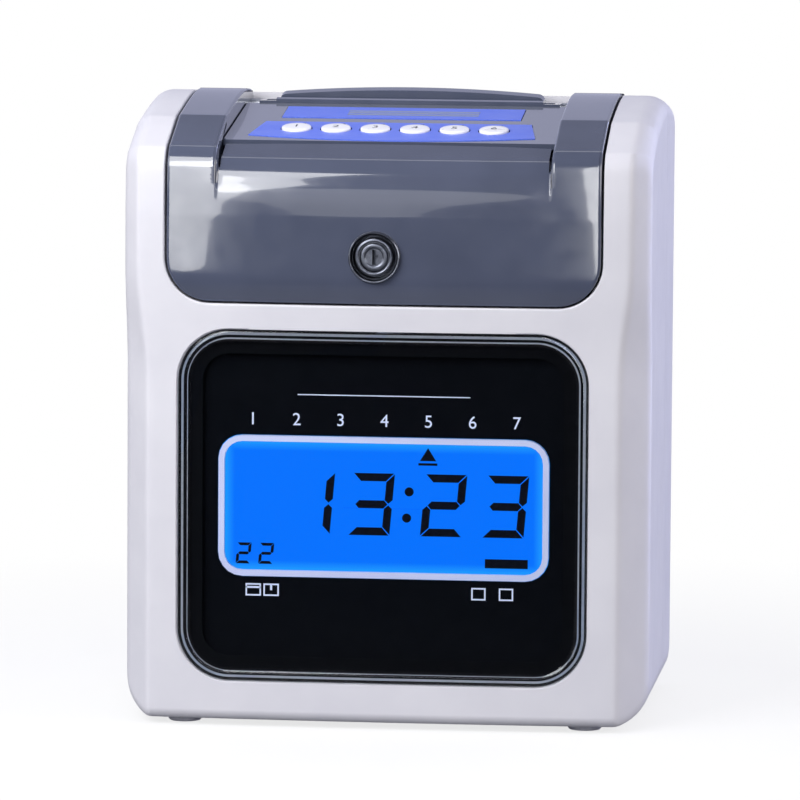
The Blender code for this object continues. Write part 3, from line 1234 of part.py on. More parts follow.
def gear_outline(depth, height, teeth, first_angle):
    """Involute teeth with a little play, as points of depth and height."""
    pitch_radius = GEAR_MODULE * teeth / 2
    base_radius = pitch_radius * math.cos(math.radians(PRESSURE_ANGLE_DEG))
    tip_radius = pitch_radius + GEAR_MODULE * ADDENDUM_SHARE
    root_radius = pitch_radius - GEAR_MODULE * DEDENDUM_SHARE

    def involute(radius):
        angle = math.acos(min(base_radius / radius, 1.0))
        return math.tan(angle) - angle

    half_tooth = math.pi / (2 * teeth) - TOOTH_PLAY / (2 * pitch_radius)
    radii = [root_radius, max(base_radius, root_radius), pitch_radius, tip_radius]
    halves = [half_tooth + involute(pitch_radius) - involute(radius) for radius in radii]
    flank = list(zip(radii, halves))
    points = []
    for i in range(teeth):
        middle_angle = first_angle + 2 * math.pi * i / teeth
        sides = [(radius, -half) for radius, half in flank]
        sides += [(radius, half) for radius, half in reversed(flank)]
        for radius, half in sides:
            angle = middle_angle + half
            points.append((depth + radius * math.cos(angle), height + radius * math.sin(angle)))
    return points


def make_feed(steel, rubber, nylon, feed_holder, pinion_holder, pinch_holder):
    end = FRAME_HALF + ROD_OVERHANG
    gear_left = FRAME_HALF + GAP * 2
    gear_right = gear_left + GEAR_WIDTH
    axis = at(0.0, FEED_DEPTH, FEED_HEIGHT)
    shaft = rod_x(FEED_DEPTH, FEED_HEIGHT, FEED_SHAFT_RADIUS, -end, gear_right + ROD_OVERHANG)
    settle(shaft, "feed_shaft", steel, feed_holder, axis)
    bore = FEED_SHAFT_RADIUS + RUNNING_GAP
    names = ("feed_roller_left", "feed_roller_right")
    for name, x in zip(names, (-FEED_ROLLER_SPREAD, FEED_ROLLER_SPREAD)):
        sides = (x - FEED_ROLLER_WIDTH / 2, x + FEED_ROLLER_WIDTH / 2)
        roller = rod_x(FEED_DEPTH, FEED_HEIGHT, FEED_ROLLER_RADIUS, *sides)
        cut(roller, rod_x(FEED_DEPTH, FEED_HEIGHT, bore, -BODY_WIDTH, BODY_WIDTH))
        settle(roller, name, rubber, feed_holder, axis)
    teeth = gear_outline(FEED_DEPTH, FEED_HEIGHT, FEED_GEAR_TEETH, PINION_ANGLE)
    gear = prism_x(teeth, gear_left, gear_right)
    cut(gear, rod_x(FEED_DEPTH, FEED_HEIGHT, bore, 0.0, BODY_WIDTH))
    settle(gear, "feed_gear", nylon, feed_holder, axis)
    half_pitch = math.pi / PINION_TEETH
    first = PINION_ANGLE + math.pi + half_pitch
    pinion = prism_x(gear_outline(PINION_DEPTH, PINION_HEIGHT, PINION_TEETH, first), gear_left, gear_right)
    motor_right = FRAME_INNER - GAP
    spindle = (motor_right - STUB_LENGTH, gear_right)
    join(pinion, rod_x(PINION_DEPTH, PINION_HEIGHT, STUB_RADIUS, *spindle, SMALL_SIDES))
    pinion_axis = at(0.0, PINION_DEPTH, PINION_HEIGHT)
    settle(pinion, "feed_pinion", nylon, pinion_holder, pinion_axis)
    motor_left = motor_right - FEED_MOTOR_LENGTH
    motor = rod_x(PINION_DEPTH, PINION_HEIGHT, FEED_MOTOR_RADIUS, motor_left, motor_right)
    socket = (motor_right - STUB_LENGTH - GAP, motor_right + OVERRUN)
    cut(motor, rod_x(PINION_DEPTH, PINION_HEIGHT, STUB_RADIUS + RUNNING_GAP, *socket, SMALL_SIDES))
    settle(motor, "feed_motor", steel)
    profile = [(-FRAME_HALF, PINCH_SHAFT_RADIUS)]
    for x in (-FEED_ROLLER_SPREAD, FEED_ROLLER_SPREAD):
        left = x - FEED_ROLLER_WIDTH / 2
        right = x + FEED_ROLLER_WIDTH / 2
        profile += [(left, PINCH_SHAFT_RADIUS), (left, PINCH_RADIUS)]
        profile += [(right, PINCH_RADIUS), (right, PINCH_SHAFT_RADIUS)]
    profile.append((FRAME_HALF, PINCH_SHAFT_RADIUS))
    pinch_axis = at(0.0, PINCH_DEPTH, FEED_HEIGHT)
    settle(shaft_x(PINCH_DEPTH, FEED_HEIGHT, profile), "pinch_roller", rubber, pinch_holder, pinch_axis)


# Ribbon

def make_ribbon(steel, black, ink, cradle_holder, knob_holder):
    end = FRAME_HALF + ROD_OVERHANG
    rod = rod_x(CRADLE_PIVOT_DEPTH, CRADLE_HEIGHT, CRADLE_ROD_RADIUS, -end, end)
    settle(rod, "cradle_rod", steel)
    axis = at(0.0, CRADLE_PIVOT_DEPTH, CRADLE_HEIGHT)
    front = CRADLE_PIVOT_DEPTH - CRADLE_EAR
    tray_low = TRAY_TOP - CRADLE_SHEET
    side = CRADLE_HALF_WIDTH
    cradle = block((-side, side), (front, front + CRADLE_TRAY_DEPTH), (tray_low, TRAY_TOP))
    for sign in (-1, 1):
        ear = sorted((sign * (side - CRADLE_SHEET), sign * side))
        ear_depth = (front, CRADLE_PIVOT_DEPTH + CRADLE_EAR)
        join(cradle, block(ear, ear_depth, (CRADLE_HEIGHT - CRADLE_EAR, TRAY_TOP - CRADLE_SHEET / 2)))
    bore = CRADLE_ROD_RADIUS + RUNNING_GAP
    cut(cradle, rod_x(CRADLE_PIVOT_DEPTH, CRADLE_HEIGHT, bore, -BODY_WIDTH, BODY_WIDTH))
    settle(cradle, "ribbon_cradle", steel, cradle_holder, axis)
    low = TRAY_TOP + GAP
    top = low + CARTRIDGE_HEIGHT
    rear = front + CARTRIDGE_DEPTH
    case = block((-CARTRIDGE_HALF_WIDTH, CARTRIDGE_HALF_WIDTH), (front, rear), (low, top))
    arm_end = RIBBON_DEPTH - GAP
    arm_z = (PRINT_HEIGHT - RIBBON_HEIGHT / 2, PRINT_HEIGHT + RIBBON_HEIGHT / 2)
    for sign in (-1, 1):
        arm = sorted((sign * (CARTRIDGE_HALF_WIDTH - CARTRIDGE_ARM), sign * CARTRIDGE_HALF_WIDTH))
        join(case, block(arm, (rear - CARTRIDGE_ARM, arm_end), arm_z))
    knob_depth = (front + rear) / 2
    spindle_low = low + CARTRIDGE_HEIGHT / 2
    hole = KNOB_SPINDLE_RADIUS + RUNNING_GAP
    cut(case, rod_z(-KNOB_OFFSET, knob_depth, hole, spindle_low - GAP, top + OVERRUN))
    settle(case, "ribbon_cartridge", black, cradle_holder)
    half_tape = CARTRIDGE_HALF_WIDTH - CARTRIDGE_ARM / 4
    tape = block((-half_tape, half_tape), (RIBBON_DEPTH, RIBBON_DEPTH + RIBBON_THICKNESS), arm_z)
    settle(tape, "ribbon_tape", ink, cradle_holder)
    lobes = KNOB_LOBES * 4
    outline = []
    for i in range(lobes):
        angle = 2 * math.pi * i / lobes
        reach = KNOB_RADIUS + KNOB_LOBE_HEIGHT * math.cos(KNOB_LOBES * angle)
        outline.append(at(-KNOB_OFFSET + reach * math.cos(angle), knob_depth + reach * math.sin(angle), 0.0))
    heights = (top + GAP, top + GAP + KNOB_HEIGHT)
    knob = loft([[point + Vector((0.0, 0.0, height)) for point in outline] for height in heights])
    join(knob, rod_z(-KNOB_OFFSET, knob_depth, KNOB_SPINDLE_RADIUS, spindle_low, heights[1] - GAP))
    settle(knob, "ribbon_knob", ink, knob_holder, at(-KNOB_OFFSET, knob_depth, top))


# Electrics behind the chute

def make_electrics(green, copper, black, blue):
    rear = MAIN_BOARD_DEPTH + BOARD_THICKNESS
    side = MAIN_BOARD_HALF_WIDTH
    board = block((-side, side), (MAIN_BOARD_DEPTH, rear), (MAIN_BOARD_LOW, MAIN_BOARD_HIGH))
    unit = SWITCH_SIZE
    part_depth = (MAIN_BOARD_DEPTH + GAP, rear + SWITCH_HEIGHT)
    middle_height = (MAIN_BOARD_LOW + MAIN_BOARD_HIGH) / 2
    join(board, block((-unit * 3, unit * 3), part_depth, (middle_height - unit, middle_height + unit)))
    for i in range(3):
        left = -side + unit * (2 + 4 * i)
        chip_z = (MAIN_BOARD_LOW + unit, MAIN_BOARD_LOW + unit * 2)
        join(board, block((left, left + unit * 3), part_depth, chip_z))
    tall = (MAIN_BOARD_DEPTH + GAP, rear + unit * 2)
    join(board, rod_y(unit * 6, middle_height, unit * 2 / 3, *tall, SMALL_SIDES))
    settle(board, "main_board", green)
    buzzer_depth = (rear + GAP, rear + GAP + BUZZER_HEIGHT)
    buzzer_height = MAIN_BOARD_HIGH - unit * 4
    buzzer = rod_y(-unit * 6, buzzer_height, BUZZER_RADIUS, *buzzer_depth, SMALL_SIDES)
    mouth = (buzzer_depth[1] - GAP * 4, buzzer_depth[1] + OVERRUN)
    cut(buzzer, rod_y(-unit * 6, buzzer_height, BUZZER_HOLE_RADIUS, *mouth, SMALL_SIDES))
    settle(buzzer, "buzzer", black)
    floor = BASE_HEIGHT + WALL + GAP * 2
    near = REAR_PART_DEPTH
    far = near + TRANSFORMER_DEPTH
    core_x = (TRANSFORMER_OFFSET - TRANSFORMER_WIDTH / 2, TRANSFORMER_OFFSET + TRANSFORMER_WIDTH / 2)
    core_depth = (near + COIL_BULGE, far - COIL_BULGE)
    core = block(core_x, core_depth, (floor, floor + TRANSFORMER_HEIGHT))
    coil_x = (TRANSFORMER_OFFSET - COIL_WIDTH / 2, TRANSFORMER_OFFSET + COIL_WIDTH / 2)
    coil_z = (floor + COIL_BULGE * 2, floor + TRANSFORMER_HEIGHT - COIL_BULGE * 2)
    join(core, block(coil_x, (near, far), coil_z))
    settle(core, "transformer", copper)
    cell_depth = near + BATTERY_CELL_RADIUS
    cell_x = (BATTERY_OFFSET - BATTERY_LENGTH / 2, BATTERY_OFFSET + BATTERY_LENGTH / 2)
    first = floor + BATTERY_CELL_RADIUS
    pack = rod_x(cell_depth, first, BATTERY_CELL_RADIUS, *cell_x, SMALL_SIDES)
    for i in range(1, BATTERY_CELLS):
        cell = rod_x(cell_depth, first + BATTERY_CELL_PITCH * i, BATTERY_CELL_RADIUS, *cell_x, SMALL_SIDES)
        join(pack, cell)
    settle(pack, "backup_battery", blue)
    half_width = INLET_BODY_WIDTH / 2
    half_height = INLET_BODY_HEIGHT / 2
    body_depth = (BODY_DEPTH - INLET_BODY_DEPTH, BODY_DEPTH)
    sides = (INLET_OFFSET - half_width, INLET_OFFSET + half_width)
    inlet = block(sides, body_depth, (INLET_HEIGHT - half_height, INLET_HEIGHT + half_height))
    well_half = INLET_WELL_HEIGHT / 2
    well_rear = BODY_DEPTH - INLET_WELL_DEPTH
    well = rounded(
        INLET_WELL_WIDTH / 2, INLET_HEIGHT - well_half, INLET_HEIGHT + well_half, well_half - GAP,
        well_half - GAP, 4, INLET_OFFSET,
    )
    cut(inlet, prism_y(well, well_rear, BODY_DEPTH + OVERRUN))
    for side in (-1, 1):
        x = INLET_OFFSET + side * INLET_PIN_SPREAD
        pin = (well_rear - WALL, well_rear + INLET_PIN_LENGTH)
        join(inlet, rod_y(x, INLET_HEIGHT, INLET_PIN_RADIUS, *pin, SMALL_SIDES))
    settle(inlet, "power_inlet", black)


def make_clock():
    white = finish("white_abs", "E4E3EA", 0.35)
    grey = finish("blue_grey_abs", "555B70", 0.15)
    clear = finish("clear_acrylic", "F2F4F6", 0.05, alpha=0.25)
    black = finish("black_plastic", "0A0C0E", 0.35)
    pale = finish("pale_plastic", "D8D4E4", 0.4)
    lcd_blue = finish("lcd_blue", "0A74F5", 0.2)
    label_blue = finish("label_blue", "5F80F0", 0.3)
    green = finish("circuit_board", "1F6B42", 0.5)
    key_white = finish("key_white", "F4F4F8", 0.3)
    steel = finish("zinc_steel", "B4B6BA", 0.35, 1.0)
    chrome = finish("lock_metal", "565A62", 0.25, 1.0)
    brass = finish("brass", "C8A452", 0.3, 1.0)
    rubber = finish("rubber", "1C1C1E", 0.8)
    nylon = finish("white_nylon", "E8E6DC", 0.5)
    ink = finish("ribbon_ink", "18181C", 0.9)
    copper = finish("transformer_steel", "6B5A4A", 0.5, 0.6)

    lid_axis = holder_at("lid_axis", at(0.0, HINGE_DEPTH, HINGE_HEIGHT))
    lock_axis = holder_at("lock_axis", at(LOCK_OFFSET, 0.0, LOCK_HEIGHT), lid_axis)
    key_axes = [
        holder_at(f"column_key_{i + 1}_axis", DECK_FRAME @ Vector((x, KEY_LINE, 0.0)))
        for i, x in enumerate(key_places())
    ]
    carriage_axis = holder_at("carriage_axis", at(0.0, LEAD_SCREW_DEPTH, ROD_HEIGHT))
    screw_axis = holder_at("lead_screw_axis", at(0.0, LEAD_SCREW_DEPTH, ROD_HEIGHT))
    feed_axis = holder_at("feed_axis", at(0.0, FEED_DEPTH, FEED_HEIGHT))
    pinion_axis = holder_at("pinion_axis", at(0.0, PINION_DEPTH, PINION_HEIGHT))
    pinch_axis = holder_at("pinch_axis", at(0.0, PINCH_DEPTH, FEED_HEIGHT))
    cradle_axis = holder_at("cradle_axis", at(0.0, CRADLE_PIVOT_DEPTH, CRADLE_HEIGHT))
    knob_depth = CRADLE_PIVOT_DEPTH - CRADLE_EAR + CARTRIDGE_DEPTH / 2
    knob_axis = holder_at("knob_axis", at(-KNOB_OFFSET, knob_depth, PRINT_HEIGHT), cradle_axis)

    make_front_housing(white)
    make_rear_housing(white)
    make_feet(rubber)
    make_case_screws(steel)
    make_lid(grey, lid_axis)
    make_hinge_rod(steel)
    make_lock(chrome, steel, lid_axis, lock_axis)
    make_display(clear, black, pale, lcd_blue, green)
    make_deck(grey, label_blue, key_white, green, key_axes)
    make_card_path(grey, steel)
    make_mechanism_frame(steel)
    make_carriage(steel, black, brass, carriage_axis, screw_axis)
    make_feed(steel, rubber, nylon, feed_axis, pinion_axis, pinch_axis)
    make_ribbon(steel, black, ink, cradle_axis, knob_axis)
    make_electrics(green, copper, black, label_blue)


for leftover in list(bpy.data.objects):
    bpy.data.objects.remove(leftover)
make_clock()
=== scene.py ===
# %% [markdown]
# # Punch card time clock
# This clock prints the time on a card that is pushed into the slot on its top. The solids of its
# print mechanism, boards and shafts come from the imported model. This lesson dresses them: the casing,
# the lid, the window and the lock are modelled again with finer, rounder forms, and every piece gets a
# material that is worked out from its real plastic or metal.

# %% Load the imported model
import json
import math

import bpy
from mathutils import Matrix, Vector

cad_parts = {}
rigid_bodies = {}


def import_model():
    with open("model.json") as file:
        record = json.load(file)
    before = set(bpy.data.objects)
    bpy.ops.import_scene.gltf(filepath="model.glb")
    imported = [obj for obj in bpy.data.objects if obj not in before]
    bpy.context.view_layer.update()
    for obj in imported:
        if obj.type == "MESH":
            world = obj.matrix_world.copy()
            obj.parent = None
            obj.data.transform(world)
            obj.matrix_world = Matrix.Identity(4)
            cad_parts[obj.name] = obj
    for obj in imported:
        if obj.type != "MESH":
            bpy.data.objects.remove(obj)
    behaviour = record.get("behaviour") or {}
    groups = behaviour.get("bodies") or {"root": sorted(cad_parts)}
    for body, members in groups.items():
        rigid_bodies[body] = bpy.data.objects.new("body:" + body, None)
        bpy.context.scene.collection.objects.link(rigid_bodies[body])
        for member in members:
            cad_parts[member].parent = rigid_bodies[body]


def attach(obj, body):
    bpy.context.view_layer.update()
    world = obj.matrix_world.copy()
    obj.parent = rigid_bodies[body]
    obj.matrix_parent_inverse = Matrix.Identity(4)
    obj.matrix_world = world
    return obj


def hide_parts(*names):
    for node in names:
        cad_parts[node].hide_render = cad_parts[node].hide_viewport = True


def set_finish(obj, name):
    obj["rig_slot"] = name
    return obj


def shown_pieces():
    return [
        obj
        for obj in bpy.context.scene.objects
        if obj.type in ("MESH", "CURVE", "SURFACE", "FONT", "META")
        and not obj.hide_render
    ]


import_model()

for leftover in {"Cube", "Camera", "Light"} & set(bpy.data.objects.keys()):
    bpy.data.objects.remove(bpy.data.objects[leftover])
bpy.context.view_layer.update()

# %% [markdown]
# ## Places and helpers
# Every size below is in millimetres, and one function turns a place into Blender's metres. A place is
# x, the depth behind the foremost point of the casing, and the height over the table. The casing is a
# skin of gentle curves, so it isn't pushed into shape by hand: a flat grid is wrapped round a row of
# slices, as a shipwright planks a hull over its frames.

# %% Places
MILLIMETRE = 0.001
FRONT_TO_MIDDLE = 72.0
SIDES = (-1, 1)


def place(x, depth, height):
    return Vector((x, depth - FRONT_TO_MIDDLE, height)) * MILLIMETRE


def ease(value, low, high):
    """0 below low, 1 above high, and a smooth step between them."""
    share = min(max((value - low) / (high - low), 0.0), 1.0)
    return share * share * (3 - 2 * share)


def mix(low, high, share):
    return low + (high - low) * share


def steps(low, high, count):
    return [mix(low, high, i / count) for i in range(count + 1)]


def arc(radius, start, end, count):
    """Points of an arc about zero between two angles in degrees."""
    angles = steps(math.radians(start), math.radians(end), count)
    return [(radius * math.cos(a), radius * math.sin(a)) for a in angles]


def circle(radius, sides):
    return arc(radius, 0, 360, sides)[:-1]


# %% [markdown]
# ## Editing by operator
# Blender's operators work on whatever is selected, so each helper first deselects everything. `alone`
# makes one piece active, `done` merges doubled points and then turns all faces outwards, and `carve` joins
# or cuts with the exact Boolean, which keeps walls closed where flat faces meet.

# %% Editing by operator
DOUBLES = 1e-6


def deselect():
    bpy.ops.object.select_all(action="DESELECT")


def alone(piece):
    """Leaves only this piece selected, so that an operator acts on nothing else."""
    if bpy.context.mode != "OBJECT":
        bpy.ops.object.mode_set(mode="OBJECT")
    deselect()
    piece.select_set(True)
    bpy.context.view_layer.objects.active = piece
    return piece


def added(name):
    """Names the primitive that an operator has just added, and puts its place into its mesh."""
    piece = bpy.context.object
    piece.name = name
    alone(piece)
    bpy.ops.object.transform_apply(location=True, rotation=True, scale=True)
    return piece


def edit(piece, mode="FACE"):
    alone(piece)
    bpy.ops.object.mode_set(mode="EDIT")
    bpy.ops.mesh.select_mode(type=mode)
    bpy.ops.mesh.select_all(action="DESELECT")


def done(piece):
    """Leaves edit mode with doubles merged and every face pointing outwards."""
    if bpy.context.mode != "EDIT_MESH":
        edit(piece)
    bpy.ops.mesh.select_all(action="SELECT")
    bpy.ops.mesh.remove_doubles(threshold=DOUBLES)
    bpy.ops.mesh.normals_make_consistent(inside=False)
    bpy.ops.object.mode_set(mode="OBJECT")
    return piece


def modified(piece, kind, **settings):
    """Adds one modifier with these settings and applies it."""
    alone(piece)
    modifier = piece.modifiers.new(kind.lower(), kind)
    for name, value in settings.items():
        setattr(modifier, name, value)
    bpy.ops.object.modifier_apply(modifier=modifier.name)
    return piece


def carve(piece, *tools, operation="DIFFERENCE"):
    """Cuts, joins or trims a piece with tools, which are then thrown away."""
    for tool in tools:
        modified(piece, "BOOLEAN", operation=operation, solver="EXACT", object=tool)
        bpy.data.objects.remove(tool)
    return piece


# %% [markdown]
# ## Basic blocks and rods
# Moulded parts are mostly blocks, turned parts and skins over a row of outlines. A few helpers make
# these with their size and place already in the mesh, so that no object is left moved or scaled.

# %% Basic blocks and rods
def block(name, x, depth, height):
    """A cube set at its size and place by three pairs of limits."""
    deselect()
    pairs = (x, depth, height)
    size = [(high - low) * MILLIMETRE for low, high in pairs]
    centre = place(*[(low + high) / 2 for low, high in pairs])
    bpy.ops.mesh.primitive_cube_add(size=1, location=centre, scale=size)
    return added(name)


def rod(name, start, end, radius, sides=48):
    """A cylinder between two places."""
    deselect()
    line = place(*end) - place(*start)
    turn = line.to_track_quat("Z", "Y").to_euler()
    middle = (place(*start) + place(*end)) / 2
    bpy.ops.mesh.primitive_cylinder_add(
        vertices=sides, radius=radius * MILLIMETRE, depth=line.length, location=middle, rotation=turn
    )
    return added(name)


def bored(name, x, height, depths, radius, sides=48):
    """A cylinder that runs from one depth to another."""
    front, rear = depths
    return rod(name, (x, front, height), (x, rear, height), radius, sides)


def wrapped(name, rings):
    """Wraps a flat grid round closed rings of points, sews its seam and closes its two ends."""
    deselect()
    last = len(rings) - 1
    sides = len(rings[0])
    bpy.ops.mesh.primitive_grid_add(x_subdivisions=last, y_subdivisions=sides, size=1)
    piece = added(name)
    for vertex in piece.data.vertices:
        ring = round((vertex.co.x + 0.5) * last)
        side = round((vertex.co.y + 0.5) * sides) % sides
        vertex.co = place(*rings[ring][side])
    edit(piece, "EDGE")
    bpy.ops.mesh.select_all(action="SELECT")
    bpy.ops.mesh.remove_doubles(threshold=DOUBLES)
    bpy.ops.mesh.select_all(action="DESELECT")
    bpy.ops.mesh.select_non_manifold(extend=False, use_wire=False, use_boundary=True)
    bpy.ops.mesh.fill_holes(sides=0)
    return done(piece)


def prism(name, outline, front, rear):
    """An outline of x and height between two depths."""
    return wrapped(name, [[(x, depth, height) for x, height in outline] for depth in (front, rear)])


def rounded(half_width, low, high, radius, high_radius=None, count=12):
    """A rounded rectangle of x and height, centred on x 0."""
    upper = high_radius or radius
    corners = (
        (half_width - radius, low + radius, radius, -90), (half_width - upper, high - upper, upper, 0),
        (upper - half_width, high - upper, upper, 90), (radius - half_width, low + radius, radius, 180),
    )
    return [
        (x + across, height + up)
        for x, height, reach, start in corners
        for across, up in arc(reach, start, start + 90, count)
    ]


# %% [markdown]
# ## The form of the casing
# The real casing is two ABS shells. Its front bows forward by a few millimetres, and each side of it
# falls back in a facet that is broad below and narrow beside the lid. The brow rolls over into the top.
# All of that is one function of x and height, so that the casing, the lid that continues it and the
# window that lies in it can share it.

# %% Form of the front
HALF_WIDTH = 110.0
BASE = 2.5
TOP = 258.5
DEPTH = 147.0
WALL = 2.5
FACET_LOW = {"width": 11.8, "depth": 21.5, "crown": 2.5}
FACET_HIGH = {"width": 7.4, "depth": 14.2, "crown": 5.2}
FACET_CHANGE = (148.0, 192.0)
CREASE_SOFTNESS = 0.9
SIDE_ROUND = 2.4
CORNER_RADIUS = 14.0
EDGE_ROUND = 4.5
TOP_ROUND = 9.0
REAR_ROUND = 3.0
SHOULDER = 213.0
BROW_LOW, BROW_HIGH = (0.042, 0.618), (0.245, 0.853)
BROW_RUNS = (
    ((0.0, 0.0), (0.002, 0.16), (0.006, 0.34), (0.014, 0.50), BROW_LOW),
    (BROW_LOW, BROW_HIGH),
    (BROW_HIGH, (0.52, 0.98), (0.70, 1.0), (0.955, 0.90), (1.0, 0.80)),
)
CREASE_LENGTH = 1.2
CREASE_LIMIT = 0.45


def front_depth(x, height):
    """How far the casing's front lies behind its foremost point."""
    share = ease(height, *FACET_CHANGE)
    width, depth, crown = (mix(FACET_LOW[key], FACET_HIGH[key], share) for key in FACET_LOW)
    corner = HALF_WIDTH - width
    bow = FACET_HIGH["crown"] - crown * (1 - min(abs(x) / corner, 1.0) ** 2)
    past = abs(x) - corner
    soft = (past + math.hypot(past, CREASE_SOFTNESS)) / 2
    return bow + depth * soft / width + drop(abs(x), SIDE_ROUND)


def drop(reach, radius):
    """How far an edge of this radius has fallen at this reach from the middle."""
    inside = max(reach - (HALF_WIDTH - radius), 0.0)
    return radius - math.sqrt(max(radius * radius - inside * inside, 0.0))


def curve(knots, parts=5):
    """Points of a smooth curve through knots."""
    ends = [knots[0], *knots, knots[-1]]
    points = []
    for a, b, c, d in zip(ends, ends[1:], ends[2:], ends[3:]):
        for t in steps(0.0, 1.0, parts)[:-1]:
            points.append([
                b[i] + t / 2 * (c[i] - a[i] + t * (2 * a[i] - 5 * b[i] + 4 * c[i] - d[i]
                + t * (3 * (b[i] - c[i]) + d[i] - a[i])))
                for i in range(2)
            ])
    return points + [list(knots[-1])]


def brow():
    """The brow's shares of depth and height: curved runs that meet in two soft creases."""
    points = []
    for number, knots in enumerate(BROW_RUNS):
        run = curve(knots)
        for at_start in (True, False):
            if number == (0 if at_start else len(BROW_RUNS) - 1):
                continue
            end, beside = (run[0], run[1]) if at_start else (run[-1], run[-2])
            length = math.hypot((beside[0] - end[0]) * DEPTH, (beside[1] - end[1]) * (TOP - SHOULDER))
            share = min(CREASE_LENGTH / 2 / length, CREASE_LIMIT)
            run[0 if at_start else -1] = [mix(a, b, share) for a, b in zip(end, beside)]
        points += run
    return points


BROW_POINTS = brow()
print("brow points:", len(BROW_POINTS), "facet depth:", round(front_depth(HALF_WIDTH, BASE), 2), "mm")

# %% [markdown]
# ## Slices of the casing
# The casing is one moulding with a crowned front, a facet down each corner and a brow that falls
# forward. It could be sculpted from a subdivided cube, but then the measured creases would drift. Slices
# from side to side are exact: each is one closed outline at its own x, and `wrapped` skins them.

# %% Slices of the casing and of the lid
def rear_depth(x):
    return DEPTH - drop(abs(x), REAR_ROUND)


def crest(x, rise):
    """The top of a slice, from the shoulder over the brow to the back."""
    points = []
    for depth_share, height_share in BROW_POINTS:
        height = SHOULDER + rise * height_share
        points.append((mix(front_depth(x, height), rear_depth(x), depth_share), height))
    return points


def corner_arc(depth, height, start, end, count=6):
    return [(depth + along, height - up) for along, up in arc(EDGE_ROUND, start, end, count)]


def casing_slice(x):
    """The outline of depth and height where the casing is cut at x."""
    low = BASE + drop(abs(x), CORNER_RADIUS)
    front = front_depth(x, low)
    start = low + EDGE_ROUND
    points = corner_arc(front + EDGE_ROUND, start, 90, 180)
    points += [(front_depth(x, height), height) for height in steps(start, SHOULDER, 34)[1:-1]]
    points += crest(x, TOP - SHOULDER - drop(abs(x), TOP_ROUND))
    rear = points[-1][1]
    back = rear_depth(x)
    points += [(back, height) for height in steps(rear, start, 12)[1:-1]]
    points += corner_arc(back - EDGE_ROUND, start, 0, 90)
    rear_foot = points[-1][0]
    front_foot = points[0][0]
    return points + [(depth, low) for depth in steps(rear_foot, front_foot, 6)[1:-1]]


def form(name, reaches, outline, inset=0.0):
    """A solid through slices on both sides of the middle, drawn in evenly by an inset."""
    ends = [-reach for reach in reaches] + list(reversed(reaches[:-1]))
    middle = (0.0, DEPTH / 2, (TOP + BASE) / 2)
    sizes = (HALF_WIDTH * 2, DEPTH, TOP - BASE)
    rings = [[(x, depth, height) for depth, height in outline(x)] for x in ends]
    return wrapped(name, [
        [[c + (value - c) * (1 - 2 * inset / size) for value, c, size in zip(point, middle, sizes)]
         for point in ring]
        for ring in rings
    ])


# Slices stand close where the outline turns quickly: at the sides, and across the facets.
EDGE_SHARES = (0.0, 0.004, 0.018, 0.04, 0.07, 0.11)
FACET_ZONE = (108.0, 92.0)
CASING_REACHES = [HALF_WIDTH - CORNER_RADIUS * share for share in EDGE_SHARES]
CASING_REACHES += steps(*FACET_ZONE, 16) + steps(FACET_ZONE[1], 0.0, 14)[1:]


def casing_form(name, inset=0.0):
    return form(name, CASING_REACHES, casing_slice, inset)


print("slices of the casing:", 2 * len(CASING_REACHES) - 1)

# %% [markdown]
# ## Soft edges
# A moulded edge is never sharp: it catches a thin line of light. A bevel on a mesh that has been cut by
# curves would pinch, so the edge is rounded as with a spokeshave: a cutter whose section has the
# round's hollow is drawn along the edge and taken away.

# %% Rounding an edge along a path
def sweep(name, path, section):
    """Draws a section along a path of (point, across, outwards), given in depth coordinates."""
    return wrapped(name, [
        [tuple(point + across * a + outwards * b) for a, b in section]
        for point, across, outwards in path
    ])


def hollow(radius, clear=0.35, count=4):
    """The section that turns an edge into a round: an L of clearance round a quarter circle."""
    quarter = [(radius - along, up - radius) for along, up in arc(radius, 0, 90, count)]
    return quarter + [(radius, clear), (-clear, clear), (-clear, -radius)]


PROBE = 0.2


def on_front(here, before, after, side):
    """A step of a path on the casing's front: its point, the way across it and the way outwards.
    Side 1 looks to the right of the path and -1 to its left."""
    x, height = here
    across = (front_depth(x + PROBE, height) - front_depth(x - PROBE, height)) / (2 * PROBE)
    up = (front_depth(x, height + PROBE) - front_depth(x, height - PROBE)) / (2 * PROBE)
    outwards = Vector((across, -1.0, up)).normalized()
    run = Vector((after[0] - before[0], 0.0, after[1] - before[1])).normalized()
    aside = Vector((run.z, 0.0, -run.x)) * side
    aside = (aside - outwards * aside.dot(outwards)).normalized()
    return Vector((x, front_depth(x, height), height)), aside, outwards


def closed_path(outline):
    """A closed outline laid on the casing's front, with its first step once more at its end."""
    count = len(outline)
    return [
        on_front(outline[i % count], outline[i % count - 1], outline[(i + 1) % count], -1)
        for i in range(count + 1)
    ]


# %% [markdown]
# ## Paths round the lid
# The lid's outline runs down the front, round two corners and up over the brow on both sides. The
# casing's opening and the lid's edge follow the same path, a gap apart, so one function gives both.

# %% Paths round the lid
LID_HALF = 90.2
LID_LOW = 177.8
LID_CORNER = 18.0
LID_HIGH_CORNER = 5.0
LID_GAP = 0.9


def brow_path(x, rise, side, end_depth):
    """The casing's line over the brow at x, back to a depth."""
    points = [point for point in crest(x, rise) if point[0] <= end_depth]
    path = []
    for before, here, after in zip(points, points[1:], points[2:]):
        run = Vector((0.0, after[0] - before[0], after[1] - before[1])).normalized()
        normal = Vector((0.0, -run.z, run.y))
        path.append((Vector((x, here[0], here[1])), Vector((side, 0.0, 0.0)), normal))
    return path


